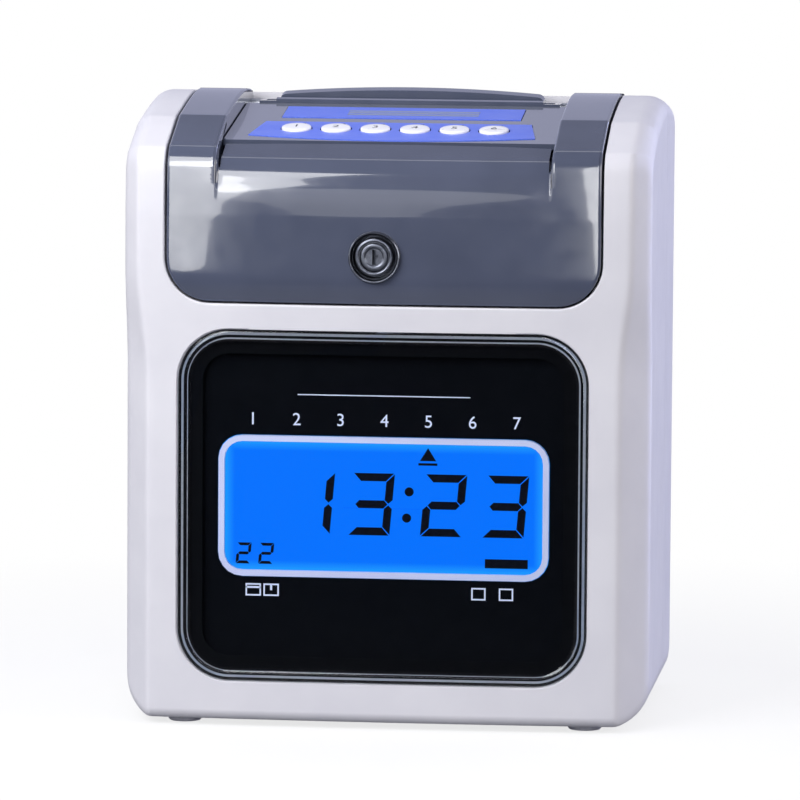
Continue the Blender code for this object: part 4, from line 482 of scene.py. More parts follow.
def lid_path(grow, side, end_depth, proud=0.0):
    """From one arm's rear end forwards, round the lid's lower edge, and back along the other arm."""
    half, low, radius = LID_HALF + grow, LID_LOW - grow, LID_CORNER + grow
    outline = [(x, low) for x in steps(0.0, half - radius, 8)[:-1]]
    outline += [
        (half - radius + across, low + radius + up) for across, up in arc(radius, -90, 0, 14)
    ]
    outline += [(half, height) for height in steps(low + radius, SHOULDER, 4)[1:]]
    right = []
    for i, here in enumerate(outline[:-1]):
        before = outline[i - 1] if i else (-outline[1][0], low)
        right.append(on_front(here, before, outline[i + 1], side))
    right += brow_path(half, TOP - SHOULDER, side, end_depth)
    right = [(point + normal * proud, across, normal) for point, across, normal in right]
    flip = Vector((-1.0, 1.0, 1.0))
    left = [tuple(part * flip for part in row) for row in right[:0:-1]]
    return left + right


# %% [markdown]
# ## The two casing shells
# White ABS, injection moulded. The front shell is hollow, with the bay that the lid closes, a rim
# behind the lid's edge, and a stepped opening for the window. The rear shell closes the back with a
# seam that shows as a fine line on the sides. Each starts from the whole form, and blocks, prisms and
# rods then cut it, as the tool maker's slides would. Tools start ahead of the front, by different
# amounts, so that no two of their faces fall together.

# %% Front shell
SEAM = 102.0
GAP = 0.3
BAY_REAR = 123.8
RIM_REAR = 19.0
WINDOW = {"half_width": 85.8, "low": 18.8, "high": 166.4, "radius": 22.0}
WINDOW_SEAT = 3.6
WINDOW_STEP = 3.0
WINDOW_WALL = (-3.0, 10.5)
WINDOW_OPENING = (-6.0, 13.0)
BAY_AHEAD, WALL_AHEAD = -6.0, -3.0
OVERLAP = 2.0
STRIKE = ((-15.0, 9.0), (11.5, 13.5), (175.0, 182.8))
FOOT = {"x": 84.0, "front": 20.0, "rear": 131.0, "radius": 7.3, "recess": 1.1}
OUT = 300.0


def lid_outline(grow):
    return rounded(LID_HALF + grow, LID_LOW - grow, OUT, LID_CORNER + grow, LID_HIGH_CORNER)


def window_outline(grow):
    return rounded(
        WINDOW["half_width"] + grow, WINDOW["low"] - grow, WINDOW["high"] + grow, WINDOW["radius"] + grow
    )


def bay():
    return prism("bay", lid_outline(LID_GAP), BAY_AHEAD, BAY_REAR)


def on_side(side, inner, outer):
    """The limits in x between two distances from the middle, on one side."""
    return sorted((side * inner, side * outer))


def shell(name, low_depth, high_depth, walls):
    """The hollow casing between two depths, with walls that end inside its skin."""
    piece = carve(casing_form(name), casing_form("hollow", WALL))
    for wall in walls:
        carve(wall, casing_form("skin", WALL / 2), operation="INTERSECT")
        carve(piece, wall, operation="UNION")
    keep = block("keep", (-OUT, OUT), (low_depth, high_depth), (-OUT, OUT))
    carve(piece, keep, operation="INTERSECT")
    return carve(piece, bay())


def cheeks(front, rear):
    """The walls on both sides of the bay."""
    inner = LID_HALF + LID_GAP
    return [
        block("cheek", on_side(side, inner - OVERLAP, inner + WALL), (front, rear), (LID_LOW - WALL, OUT))
        for side in SIDES
    ]


def foot_recesses(piece, depth):
    """Seats for the two feet that stand at a depth."""
    for side in SIDES:
        low, high = ((side * FOOT["x"], depth, height) for height in (-OVERLAP, BASE + FOOT["recess"]))
        carve(piece, rod("recess", low, high, FOOT["radius"]))


rim = carve(prism("rim", lid_outline(LID_GAP + WALL), WALL_AHEAD, RIM_REAR), bay())
window_wall = prism("window_wall", window_outline(WINDOW_STEP), *WINDOW_WALL)
walls = [rim, window_wall] + cheeks(WALL_AHEAD, SEAM + OVERLAP)
front_shell = shell("front_shell", -OUT, SEAM - GAP / 2, walls)
seat = carve(prism("seat", window_outline(0.0), *WINDOW_WALL), casing_form("behind", WINDOW_SEAT))
carve(front_shell, seat, prism("opening", window_outline(-WINDOW_STEP), *WINDOW_OPENING))
carve(front_shell, block("strike", *STRIKE), operation="UNION")
foot_recesses(front_shell, FOOT["front"])
print("front shell:", len(front_shell.data.polygons), "faces")

# %% [markdown]
# ### Its soft edges
# The hollow cutter now follows the edge of the bay, which gives the thin light line that tells the eye how
# big the thing is. Round the window it looks inwards, so that its clearance leaves a fine step, and the gap
# round the plate shows as a dark line. The other helpers here finish a piece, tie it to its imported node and
# let it ride its body.

# %% Soft edges of the front shell
BAY_EDGE = 0.9
WINDOW_EDGE = 0.8
PAST_SEAM = 8.0
FLAT_WEIGHT = 60
carve(front_shell, sweep("bay_edge", lid_path(LID_GAP, 1, SEAM + PAST_SEAM), hollow(BAY_EDGE)))
carve(front_shell, sweep("window_edge", closed_path(window_outline(0.0)), hollow(WINDOW_EDGE)))


def finished(piece, angle=32.0):
    """Shades a piece smooth up to its real edges, with flat areas kept flat."""
    alone(piece)
    bpy.ops.object.shade_smooth_by_angle(angle=math.radians(angle))
    return modified(piece, "WEIGHTED_NORMAL", keep_sharp=True, weight=FLAT_WEIGHT)


def shown(piece, node_name, slot, body, angle=32.0):
    """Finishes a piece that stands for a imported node, and lets it ride a body."""
    finished(piece, angle)
    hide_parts(node_name)
    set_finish(piece, slot)
    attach(piece, body)
    print(f"{node_name}:", len(piece.data.polygons), "faces")


def added_print(piece, look, body="casing"):
    """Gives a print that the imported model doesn't have its look, and lets it ride a body."""
    piece["finish"] = look
    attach(piece, body)


shown(front_shell, "front_housing", "white_abs", "casing")

# %% [markdown]
# ## Rear shell
# The rear half carries the keyholes for a wall, the vents over the transformer, the power socket's
# opening, four screw wells and the hinge's rest. Each is cut away with plain blocks and rods.

# %% Rear shell
BACK = (DEPTH - WALL - OVERLAP, DEPTH + OVERLAP)
CROSS_WALL = {"half": 93.2, "low": 234.0}
CHEEK_END = 1.2
SCREW = {"x": 100.5, "heights": (19.0, 224.0), "radius": 3.5, "sunk": 3.5}
KEYHOLE = {"x": 55.0, "head": (222.0, 4.8), "neck": (230.0, 2.3)}
VENT = {"middle": 46.0, "pitch": 7.0, "count": 7, "half": 1.2, "height": (62.0, 88.0), "bevel": 1.1}
INLET = {"x": (77.2, 98.8), "height": (40.7, 55.3)}
HINGE = (117.5, 252.065)
HINGE_REST = {"half": 92.9, "radius": 2.1}
EDGE_END = BAY_REAR - 3.0

cross_wall = block(
    "cross_wall", (-CROSS_WALL["half"], CROSS_WALL["half"]), (BAY_REAR - OVERLAP, BAY_REAR + WALL),
    (CROSS_WALL["low"], OUT),
)
walls = cheeks(SEAM - OVERLAP, BAY_REAR + CHEEK_END) + [cross_wall]
rear_shell = shell("rear_shell", SEAM + GAP / 2, OUT, walls)
for side in SIDES:
    for height in SCREW["heights"]:
        sunk = (DEPTH - SCREW["sunk"], BACK[1])
        carve(rear_shell, bored("sink", side * SCREW["x"], height, sunk, SCREW["radius"]))
for side in SIDES:
    x = side * KEYHOLE["x"]
    (low, head_radius), (high, neck_radius) = KEYHOLE["head"], KEYHOLE["neck"]
    head = bored("head", x, low, BACK, head_radius)
    slot = block("slot", (x - neck_radius, x + neck_radius), BACK, (low, high))
    carve(rear_shell, head, slot, bored("neck", x, high, BACK, neck_radius))
for i in range(VENT["count"]):
    x = VENT["middle"] + VENT["pitch"] * (i - VENT["count"] // 2)
    vent = block("vent", (x - VENT["half"], x + VENT["half"]), BACK, VENT["height"])
    edit(vent, "EDGE")
    bpy.ops.mesh.select_all(action="SELECT")
    bpy.ops.mesh.bevel(offset=VENT["bevel"] * MILLIMETRE, segments=1)
    carve(rear_shell, done(vent))
carve(rear_shell, block("inlet_hole", INLET["x"], BACK, INLET["height"]))
foot_recesses(rear_shell, FOOT["rear"])
carve(rear_shell, sweep("bay_edge", lid_path(LID_GAP, 1, EDGE_END), hollow(BAY_EDGE)))
rest_ends = [(side * HINGE_REST["half"], *HINGE) for side in SIDES]
carve(rear_shell, rod("hinge_rest", *rest_ends, HINGE_REST["radius"]))
shown(rear_shell, "rear_housing", "white_abs", "casing")

# %% [markdown]
# ## The lid
# One blue-grey ABS moulding: a broad panel below, and two arms that reach back over the top to the
# hinge. Between the arms the panel is sunk a little. The lid continues the casing's curves, 0.8 mm
# proud of them, so its slices come from the same functions, with a lip that curves inwards below.

# %% Lid
LID_PROUD = 0.8
ARM_INNER = 69.7
ARM_LOW = 234.0
PANEL = {"recess": 1.5, "drop": 4.5, "step": 1.6, "low": 220.0, "high": 238.0, "rim": 22.5}
LIP = {"height": 11.0, "setback": 2.4}
LID_FLOOR = 150.0
LID_AHEAD = -8.0
ARM_ZONE = (89.0, 72.0)
PANEL_ZONE = (66.0, 0.0)
ARM_END = 5.5
HINGE_BORE = {"half": 100.0, "radius": 2.09}
PANEL_REAR = 22.0
FLANGE = 8.0
LOCK = (-3.0, 197.6)
LOCK_BORE = 9.3


def lid_slice(x):
    points = [(front_depth(x, height), height) for height in steps(LID_FLOOR, SHOULDER, 40)]
    points += crest(x, TOP - SHOULDER)[1:]
    outline = []
    for depth, height in points:
        lip_share = 1 - min(max((height - LID_LOW) / LIP["height"], 0.0), 1.0)
        sunk_share = ease(height, PANEL["low"], PANEL["high"])
        sunk_share *= ease(ARM_INNER - abs(x), 0.0, PANEL["step"])
        depth += LIP["setback"] * lip_share ** 2 + PANEL["recess"] * sunk_share
        outline.append((depth, height - PANEL["drop"] * sunk_share))
    return outline + [(depth, LID_FLOOR) for depth in steps(outline[-1][0], outline[0][0], 6)[1:-1]]


LID_REACHES = [LID_HALF + OVERLAP, LID_HALF] + steps(*ARM_ZONE, 12)
LID_REACHES += steps(ARM_INNER, ARM_INNER - PANEL["step"], 6) + steps(*PANEL_ZONE, 12)


def lid_form(name, inset):
    return form(name, LID_REACHES, lid_slice, inset)


lid = carve(
    lid_form("lid", -LID_PROUD), prism("edge", lid_outline(0.0), LID_AHEAD, HINGE[0]),
    operation="INTERSECT",
)
lid_hollow = carve(
    lid_form("lid_hollow", WALL - LID_PROUD),
    prism("inner", lid_outline(-WALL), LID_AHEAD, HINGE[0] + OVERLAP), operation="INTERSECT",
)
for side in SIDES:
    arm_wall = on_side(side, ARM_INNER, ARM_INNER + WALL)
    carve(lid_hollow, block("arm_wall", arm_wall, (PANEL_REAR - WALL, OUT), (ARM_LOW, OUT)))
lower = LID_HALF - LID_CORNER
carve(
    lid, lid_hollow,
    block("behind", (-ARM_INNER, ARM_INNER), (PANEL["rim"], OUT), (ARM_LOW - OVERLAP, OUT)),
    block("under", (-OUT, OUT), (PANEL_REAR, OUT), (0.0, ARM_LOW)),
    block("flange", (-lower, lower), (FLANGE, OUT), (0.0, LID_LOW + WALL + OVERLAP)),
)
for side in SIDES:
    ends = [(x, *HINGE) for x in on_side(side, ARM_INNER, LID_HALF)]
    carve(lid, rod("knuckle", *ends, ARM_END), operation="UNION")
bore_ends = [(side * HINGE_BORE["half"], *HINGE) for side in SIDES]
carve(lid, rod("hinge_bore", *bore_ends, HINGE_BORE["radius"]))
carve(lid, bored("lock_bore", *LOCK, (LID_AHEAD, FLANGE), LOCK_BORE))
print("lid:", len(lid.data.polygons), "faces")

# %% [markdown]
# ### Its soft edges
# The lid's rim gets the same treatment as the casing's: a hollow profile swept along its outline takes
# the edge off, and the gap round the lid then shows as a dark line with a light one beside it.

# %% Soft edges of the lid
LID_EDGE = 1.2
RIM_EDGE = 1.8
RIM_CLEAR = 1.5
RIM_OVERRUN = 0.5
EDGE_REAR = {"outer": 112.0, "arm": 111.0}
ARM_START = 8  # points of the brow below the place where an arm stands free of the panel
CATCH = {"x": (-1.4, 1.0), "depth": (27.0, 37.0), "height": (246.4, 248.0), "slope": math.radians(-24)}
carve(lid, sweep("outer_edge", lid_path(0.0, -1, EDGE_REAR["outer"], LID_PROUD), hollow(LID_EDGE)))
for side in SIDES:
    along_arm = brow_path(side * ARM_INNER, TOP - SHOULDER, side, EDGE_REAR["arm"])[ARM_START:]
    line = [(point + normal * LID_PROUD, across, normal) for point, across, normal in along_arm]
    carve(lid, sweep("arm_edge", line, hollow(LID_EDGE)))
rim_path = []
for x in steps(-ARM_INNER - RIM_OVERRUN, ARM_INNER + RIM_OVERRUN, 28):
    outline = lid_slice(min(abs(x), ARM_INNER - PANEL["step"]))
    for point, after in zip(outline, outline[1:]):
        if point[0] < PANEL["rim"] <= after[0] and point[1] > ARM_LOW:
            ahead, behind = point, after
    share = (PANEL["rim"] - ahead[0]) / (behind[0] - ahead[0])
    height = mix(ahead[1], behind[1], share) + LID_PROUD
    rim_path.append((
        Vector((x, PANEL["rim"], height)), Vector((0.0, -1.0, 0.0)), Vector((0.0, 0.0, 1.0)),
    ))
carve(lid, sweep("rim_edge", rim_path, hollow(RIM_EDGE, RIM_CLEAR)))
catch_x = [CATCH["x"][0] - ARM_INNER, CATCH["x"][1] - ARM_INNER]
catch = alone(block("catch", catch_x, CATCH["depth"], CATCH["height"]))
pivot = place(-ARM_INNER, sum(CATCH["depth"]) / 2, sum(CATCH["height"]) / 2)
bpy.ops.transform.rotate(value=CATCH["slope"], orient_axis="X", center_override=pivot)
carve(lid, catch)
shown(lid, "top_lid", "blue_grey_abs", "lid")

# %% [markdown]
# ## The window
# A plate of clear acrylic, polished, with a bevelled rim that lies in the step of the casing. Behind
# it is the black mask. The plate is built from rounded outlines, one inside the other, that all lie on
# the casing's curved front: the outer ones fall away to make the bevel.

# %% Window plate
WINDOW_SETBACK = 0.8
WINDOW_THICKNESS = 2.5
PLATE_GAP = 0.35
PLATE_ANGLE = 30.0
LEAST_RADIUS = 4.0


def inside_window(inset):
    """A rounded outline drawn in from the window's edge, always with the same number of points."""
    radius = max(WINDOW["radius"] - inset, LEAST_RADIUS)
    return rounded(
        WINDOW["half_width"] - inset, WINDOW["low"] + inset, WINDOW["high"] - inset, radius, count=16
    )


def dense(outline, corner=17, parts=10):
    """Adds points along the four straight runs, so that they can follow a curved surface."""
    points = []
    for i, (x, height) in enumerate(outline):
        next_x, next_height = outline[(i + 1) % len(outline)]
        straight = i % corner == corner - 1
        for share in steps(0.0, 1.0, parts if straight else 1)[:-1]:
            points.append((mix(x, next_x, share), mix(height, next_height, share)))
    return points


def plate_ring(inset, sink):
    return [(x, front_depth(x, height) + sink, height) for x, height in dense(inside_window(inset))]


# Each ring is drawn in from the plate's edge and lies behind its foremost surface by these amounts.
OUTER_BEVEL = ((0.0, 1.1), (0.25, 0.55), (0.7, 0.2), (1.3, 0.05), (2.4, 0.0))
INNER_BEVEL = ((3.2, 0.0), (3.7, 0.15), (4.2, 0.55), (4.6, 0.85), (5.2, 0.9))
MIDDLE_INSETS = (9.0, 14.0, 20.0, 28.0, 38.0, 50.0, 62.0, 70.0)
MIDDLE_SINK = INNER_BEVEL[-1][1]
rings = [plate_ring(PLATE_GAP, WINDOW_SETBACK + WINDOW_THICKNESS)]
for inset, sink in OUTER_BEVEL + INNER_BEVEL:
    rings.append(plate_ring(PLATE_GAP + inset, WINDOW_SETBACK + sink))
for inset in MIDDLE_INSETS:
    rings.append(plate_ring(inset, WINDOW_SETBACK + MIDDLE_SINK))
plate = wrapped("window_plate", rings)
print("window plate:", len(plate.data.polygons), "faces")

# %% [markdown]
# ### Its rim
# Only the bevelled rim bends the light much, so those faces are marked with a number of their own. The
# material reads it and uses real refraction there, and a quicker clear film in the middle.

# %% Rim of the plate
RIM_WIDTH = 5.4


def inside(x, height):
    """How far a place lies inside the window's rounded edge."""
    middle = (WINDOW["low"] + WINDOW["high"]) / 2
    radius = WINDOW["radius"]
    across = abs(x) - (WINDOW["half_width"] - radius)
    up = abs(height - middle) - (WINDOW["high"] - middle - radius)
    return radius - math.hypot(max(across, 0.0), max(up, 0.0)) - min(max(across, up), 0.0)


rim_share = plate.data.attributes.new("rim", "FLOAT", "FACE")
for face in plate.data.polygons:
    centre = face.center / MILLIMETRE
    rim_share.data[face.index].value = float(inside(centre.x, centre.z) < RIM_WIDTH)
shown(plate, "window_lens", "clear_acrylic", "casing", PLATE_ANGLE)

# %% [markdown]
# ## The lock
# A cam lock with a turned, chromed ring, and a plug whose keyhole is a plain slot. The ring and the
# plug are cylinders whose faces are inset and bevelled, so that the light runs round their rims.

# %% Lock barrel and plug
BARREL_PROFILE = (
    (0.4, -2.5), (6.35, -2.5), (6.5, -2.72), (6.8, -2.85), (7.3, -2.82), (7.7, -2.6), (7.9, -2.2),
    (8.0, 5.0), (8.7, 5.0), (8.8, -0.6), (9.5, -1.8), (9.75, -2.7), (9.95, -2.95), (10.25, -3.0),
    (10.55, -2.75), (10.7, -2.4), (10.7, -1.1), (9.0, -1.1), (9.0, 13.5), (0.4, 13.5),
)
PLUG_PROFILE = (
    (0.4, -1.9), (3.5, -1.9), (3.75, -2.15), (4.1, -2.25), (5.2, -2.3), (5.6, -2.15), (5.9, -1.8),
    (6.0, -1.4), (6.0, 13.5), (0.4, 13.5),
)
PLUG_BORE = {"depth": (-6.0, 20.0), "radius": 6.09}
# Square and slots as limits of x, depth and height, counted from the lock's axis.
TANG = ((-2.5, 2.5), (7.0, 16.0), (-2.5, 2.5))
KEYWAY = ((-0.75, 0.75), (-5.0, 6.0), (-3.1, 3.1))
WARD = ((0.4, 1.5), (-5.0, 6.0), (-0.2, 0.9))
TURNED_SIDES = 96


def turned(name, x, height, profile):
    """A solid turned about an axis that points to the front, from (radius, depth) pairs."""
    return wrapped(name, [
        [(x + across, depth, height + up) for across, up in circle(radius, TURNED_SIDES)]
        for radius, depth in profile
    ])


def at_lock(name, x, depth, height):
    """A block whose x and height are counted from the lock's axis."""
    return block(name, [LOCK[0] + limit for limit in x], depth, [LOCK[1] + limit for limit in height])


barrel = turned("barrel", *LOCK, BARREL_PROFILE)
carve(barrel, bored("plug_bore", *LOCK, PLUG_BORE["depth"], PLUG_BORE["radius"], TURNED_SIDES))
shown(barrel, "lock_barrel", "lock_metal", "lid")
plug = turned("plug", *LOCK, PLUG_PROFILE)
carve(plug, at_lock("tang", *TANG), operation="UNION")
carve(plug, at_lock("keyway", *KEYWAY), at_lock("ward", *WARD))
shown(plug, "lock_plug", "lock_metal", "lock")

# %% [markdown]
# ## What the display shows
# The real panel is a liquid crystal display: dark segments that float a hair in front of a blue back
# light. The segments are flat cut shapes, a touch thick. Round it, pale marks are printed on the black
# mask: day numbers above, and two small pictures below.

# %% Flat shapes of the display
SEGMENT_DEPTH = (12.34, 12.46)
MARK_DEPTH = (10.54, 10.64)
SLANT = 0.087
BAR_BEVEL = 0.45
# The bars of each figure that is shown: a on top, then clockwise, and g in the middle.
FIGURES = {"1": "bc", "2": "abged", "3": "abgcd"}


def box(x, height):
    """The corners of a rectangle."""
    (left, right), (low, high) = x, height
    return [(left, low), (right, low), (right, high), (left, high)]


def frame_of(x, height, line):
    """The four strokes of a rectangular frame."""
    (left, right), (low, high) = x, height
    inside_height = (low + line, high - line)
    return [
        box(x, (low, low + line)), box(x, (high - line, high)),
        box((left, left + line), inside_height), box((right - line, right), inside_height),
    ]


def joined(name, pieces):
    """Makes one object of several."""
    alone(pieces[0])
    for piece in pieces[1:]:
        piece.select_set(True)
    bpy.ops.object.join()
    pieces[0].name = name
    return done(pieces[0])


def bars(width, height, line, gap):
    """The corners of the bars that the figures need, in a box that starts at zero."""
    half, middle, bevel = line / 2, height / 2, line * BAR_BEVEL
    left, right = half + gap + bevel, width - half - gap - bevel
    made = {
        "b": [(width, middle + gap + bevel), (width, height - gap), (width - line, height - gap - line),
              (width - line, middle + gap + bevel), (width - half, middle + gap)],
        "c": [(width, gap), (width, middle - gap - bevel), (width - half, middle - gap),
              (width - line, middle - gap - bevel), (width - line, gap + line)],
        "d": [(gap, 0.0), (line + gap / 2, line), (width - line - gap / 2, line), (width - gap, 0.0)],
        "g": [(left - bevel, middle), (left, middle - half), (right, middle - half),
              (right + bevel, middle), (right, middle + half), (left, middle + half)],
    }
    made["a"] = [(x, height - up) for x, up in reversed(made["d"])]
    made["e"] = [(width - x, up) for x, up in reversed(made["c"])]
    return made


def figure(value, x, height, width, tall, line, gap):
    """The slanted bars of one figure whose lower left corner is at x and height."""
    made = bars(width, tall, line, gap)
    return [[(x + a + b * SLANT, height + b) for a, b in made[name]] for name in FIGURES[value]]


def disc(x, height, radius):
    return [(x + across, height + up) for across, up in circle(radius, 24)]


# %% [markdown]
# ### The time
# Seven bars make a figure, and the display leans them a little. They are thin solids in front of the
# blue cells, as in the real display, where they lie in the glass and the light comes from behind.

# %% The time and the small marks
TIME = (("1", -36.6, 14.0), ("3", -15.0, 17.4), ("2", 15.2, 17.4), ("3", 41.0, 17.4))
TIME_LOW, TIME_TALL, TIME_LINE, TIME_GAP = 80.3, 26.0, 3.3, 0.35
SMALL = (("2", -62.0), ("2", -52.5))
SMALL_LOW, SMALL_WIDTH, SMALL_TALL, SMALL_LINE, SMALL_GAP = 67.4, 6.0, 8.8, 1.2, 0.15
COLON = ((9.6, 87.8), (10.6, 98.8))
DOT = 1.9
POINTER = [(15.0, 111.8), (21.8, 111.8), (18.4, 117.2)]
POINTER_FOOT = ((14.4, 22.3), (109.9, 110.9))
CORNER_BAR = ((42.4, 60.3), (67.5, 71.3))
shapes = []
for value, x, width in TIME:
    shapes += figure(value, x, TIME_LOW, width, TIME_TALL, TIME_LINE, TIME_GAP)
shapes += [disc(x, height, DOT) for x, height in COLON] + [POINTER, box(*POINTER_FOOT)]
for value, x in SMALL:
    shapes += figure(value, x, SMALL_LOW, SMALL_WIDTH, SMALL_TALL, SMALL_LINE, SMALL_GAP)
shapes.append(box(*CORNER_BAR))
segments = [prism("segment", points, *SEGMENT_DEPTH) for points in shapes]
added_print(joined("lcd_segments", segments), "lcd_ink")
print("segments:", len(shapes))

# %% [markdown]
# ### Printed marks
# The row of days is plain numbers here, with small pictures below it. Text could be painted on with a
# texture, but real thin solids stay sharp at any distance, and they turn into a mesh before being placed.

# %% Printed marks
RELIEF = 0.05
UPRIGHT = (math.radians(90), 0.0, 0.0)
DAYS = 7
DAY_ROW = {"first": -54.7, "last": 55.4, "height": 128.2, "size": 7.4}
PICTURE_LINE = 0.63
PICTURE_HEIGHT = (54.2, 59.4)
PICTURES = ((-57.5, -51.0), (-50.0, -43.5), (37.0, 43.0), (48.5, 54.5))
# The head of the small calendar, the hand of the small clock, and the rule above the days.
STROKES = (
    ((-57.5, -51.0), (57.4, 58.2)), ((-47.2, -46.3), (56.6, 59.0)), ((-36.0, 36.0), (138.6, 139.0)),
)


def number(name, value, size, where, turn):
    """A plain figure as a thin solid, centred on a place and turned to its surface."""
    deselect()
    bpy.ops.object.text_add(location=where, rotation=turn)
    text = bpy.context.object
    text.data.body = value
    text.data.size = size * MILLIMETRE
    text.data.extrude = RELIEF * MILLIMETRE
    text.data.align_x = text.data.align_y = "CENTER"
    bpy.ops.object.convert(target="MESH")
    return done(added(name))


marks = []
for i, x in enumerate(steps(DAY_ROW["first"], DAY_ROW["last"], DAYS - 1)):
    spot = place(x, sum(MARK_DEPTH) / 2, DAY_ROW["height"])
    marks.append(number("day", str(i + 1), DAY_ROW["size"], spot, UPRIGHT))
outlines = [box(*stroke) for stroke in STROKES]
for x in PICTURES:
    outlines += frame_of(x, PICTURE_HEIGHT, PICTURE_LINE)
marks += [prism("picture", points, *MARK_DEPTH) for points in outlines]
window_marks = joined("window_marks", marks)
added_print(window_marks, "print_white")
print("window marks:", len(window_marks.data.polygons), "faces")

# %% [markdown]
# ## The black print behind the window
# The real plate is printed black on its rear, up to the edge of the display, and that is why the
# window and the depth of its clear rim look black. The print is a curved band behind the rim and a flat
# film in front of the mask. Two thin silver rings under the rim are painted highlights: light lines that
# stand in for the light that the rim's bevels catch.

# %% Black print
PRINT_THICKNESS = 0.12
PRINT_GAP = 0.04
FILM_DEPTH = (10.68, 10.76)
FILM_INSET = 0.4
LCD_OPENING = (69.25, 62.25, 121.75, 10.25)
LCD_CUT = (10.0, 12.0)
BAND_INSETS = (1.0, 2.4, 4.4, 7.0, 10.5)
HIGHLIGHT_LINE_INSETS = ((1.7, 2.6), (3.6, 3.9))
HIGHLIGHT_LINE_SINKS = (-0.01, 0.02)


def printed_band(name, insets, front, rear):
    """A closed band under the plate, between two surfaces that follow its rings."""
    rings = [plate_ring(inset, front) for inset in insets]
    rings += [plate_ring(inset, rear) for inset in reversed(insets)]
    return wrapped(name, rings + rings[:1])


band_sink = WINDOW_SETBACK + WINDOW_THICKNESS + PRINT_GAP
band = printed_band("window_print", BAND_INSETS, band_sink, band_sink + PRINT_THICKNESS)
film = prism("film", window_outline(-WINDOW_STEP - FILM_INSET), *FILM_DEPTH)
carve(film, prism("opening", rounded(*LCD_OPENING), *LCD_CUT))
for print_piece in (band, film):
    added_print(finished(print_piece), "print_black")
film.name = "mask_film"
# Painted highlights: two thin silver rings under the rim, in place of the gleam of its bevels.
highlight_line_surfaces = [band_sink + sink for sink in HIGHLIGHT_LINE_SINKS]
trim = [printed_band("trim", insets, *highlight_line_surfaces) for insets in HIGHLIGHT_LINE_INSETS]
added_print(joined("window_trim", trim), "print_silver")
print("print:", len(band.data.polygons), "faces")

# %% [markdown]
# ## The column keys
# Six oval keys stand in the blue label between the lid's arms. Each is a small ABS cap with a crowned
# top. One cap is modelled out of ellipses that shrink towards the top, and the others are copies of
# it with a mesh of their own, so that a number can be added to each.

# %% Keys
DECK = {"depth": 23.0, "height": 243.5, "slope": math.radians(7.5)}
KEY_LINE = 23.5
KEY_PITCH = 16.6
KEYS = 6
KEY_HALF = (6.2, 7.5)
KEY_TOP = 1.4


def deck(u, v, w):
    """A place from x, the way up the deck's slope and the height over its surface."""
    run, rise = math.cos(DECK["slope"]), math.sin(DECK["slope"])
    return (u, DECK["depth"] + v * run - w * rise, DECK["height"] + v * rise + w * run)


def ellipse(inset, level, u):
    """An oval round a key's middle at u, drawn in by an inset, at a level over the deck."""
    wide, long = (half - inset for half in KEY_HALF)
    return [deck(u + across * wide, KEY_LINE + up * long, level) for across, up in circle(1.0, 48)]


KEY_PROFILE = (
    (4.2, -5.2), (4.2, -3.6), (-1.1, -3.6), (-1.2, -3.5), (-1.2, -2.9), (-1.1, -2.8), (0.0, -2.8),
    (0.0, 0.5), (0.06, 0.8), (0.22, 1.02), (0.5, 1.16), (1.0, 1.26), (2.2, 1.36), (4.0, KEY_TOP),
)
KEY_ANGLE = 40.0
KEY_NUMBER = {"size": 6.2, "sink": 0.02}
KEY_PLACES = [KEY_PITCH * (i - (KEYS - 1) / 2) for i in range(KEYS)]
first_key = wrapped("key_1", [ellipse(inset, level, KEY_PLACES[0]) for inset, level in KEY_PROFILE])
caps = [first_key]
for i in range(1, KEYS):
    cap = first_key.copy()
    cap.data = first_key.data.copy()
    cap.name = f"key_{i + 1}"
    bpy.context.collection.objects.link(cap)
    alone(cap)
    bpy.ops.transform.translate(value=(KEY_PITCH * i * MILLIMETRE, 0.0, 0.0))
    bpy.ops.object.transform_apply(location=True, rotation=True, scale=True)
    caps.append(cap)
for i, (cap, u) in enumerate(zip(caps, KEY_PLACES)):
    body = f"key_{i + 1}"
    shown(cap, f"column_key_{i + 1}", "key_white", body, KEY_ANGLE)
    spot = place(*deck(u, KEY_LINE, KEY_TOP - KEY_NUMBER["sink"]))
    turn = (DECK["slope"], 0.0, 0.0)
    sign = number(f"key_number_{i + 1}", str(i + 1), KEY_NUMBER["size"], spot, turn)
    added_print(sign, "print_dark", body)
print("keys:", len(caps))

# %% [markdown]
# ### Prints on the labels
# Small dark ticks over the keys and three grey lines on the rear label stand for its printing. Each is
# a thin rectangle that lies on the sloping deck.

# %% Prints on the labels
LABEL_PRINT = (0.32, 0.39)
TICKS = {"x": ((-1.6, 0.3), (0.9, 2.8)), "slope": (32.0, 34.0)}
LINES = {"x": (-23.5, 32.0), "starts": (52.5, 56.0, 59.5), "height": 2.3}


def on_deck(x, slope):
    """A thin rectangle printed on the deck, from its limits in x and up the slope."""
    return wrapped("print", [[deck(u, v, level) for u, v in box(x, slope)] for level in LABEL_PRINT])


ticks = [
    on_deck((u + start, u + end), TICKS["slope"]) for u in KEY_PLACES for start, end in TICKS["x"]
]
lines = [on_deck(LINES["x"], (v, v + LINES["height"])) for v in LINES["starts"]]
added_print(joined("key_ticks", ticks), "print_dark")
added_print(joined("card_lines", lines), "print_grey")
print("ticks:", len(ticks), "lines:", len(lines))

# %% [markdown]
# ## The card slot
# Behind the keys lies the throat that leads a card into the clock: a low block with a groove across
# it, the slit in the groove's floor, and a raised bar behind that the card leans on. It starts as a
# cube that a guide and the arched bar are joined to. Blocks then cut the groove and the slit, and a
# bevel softens what a hand touches.

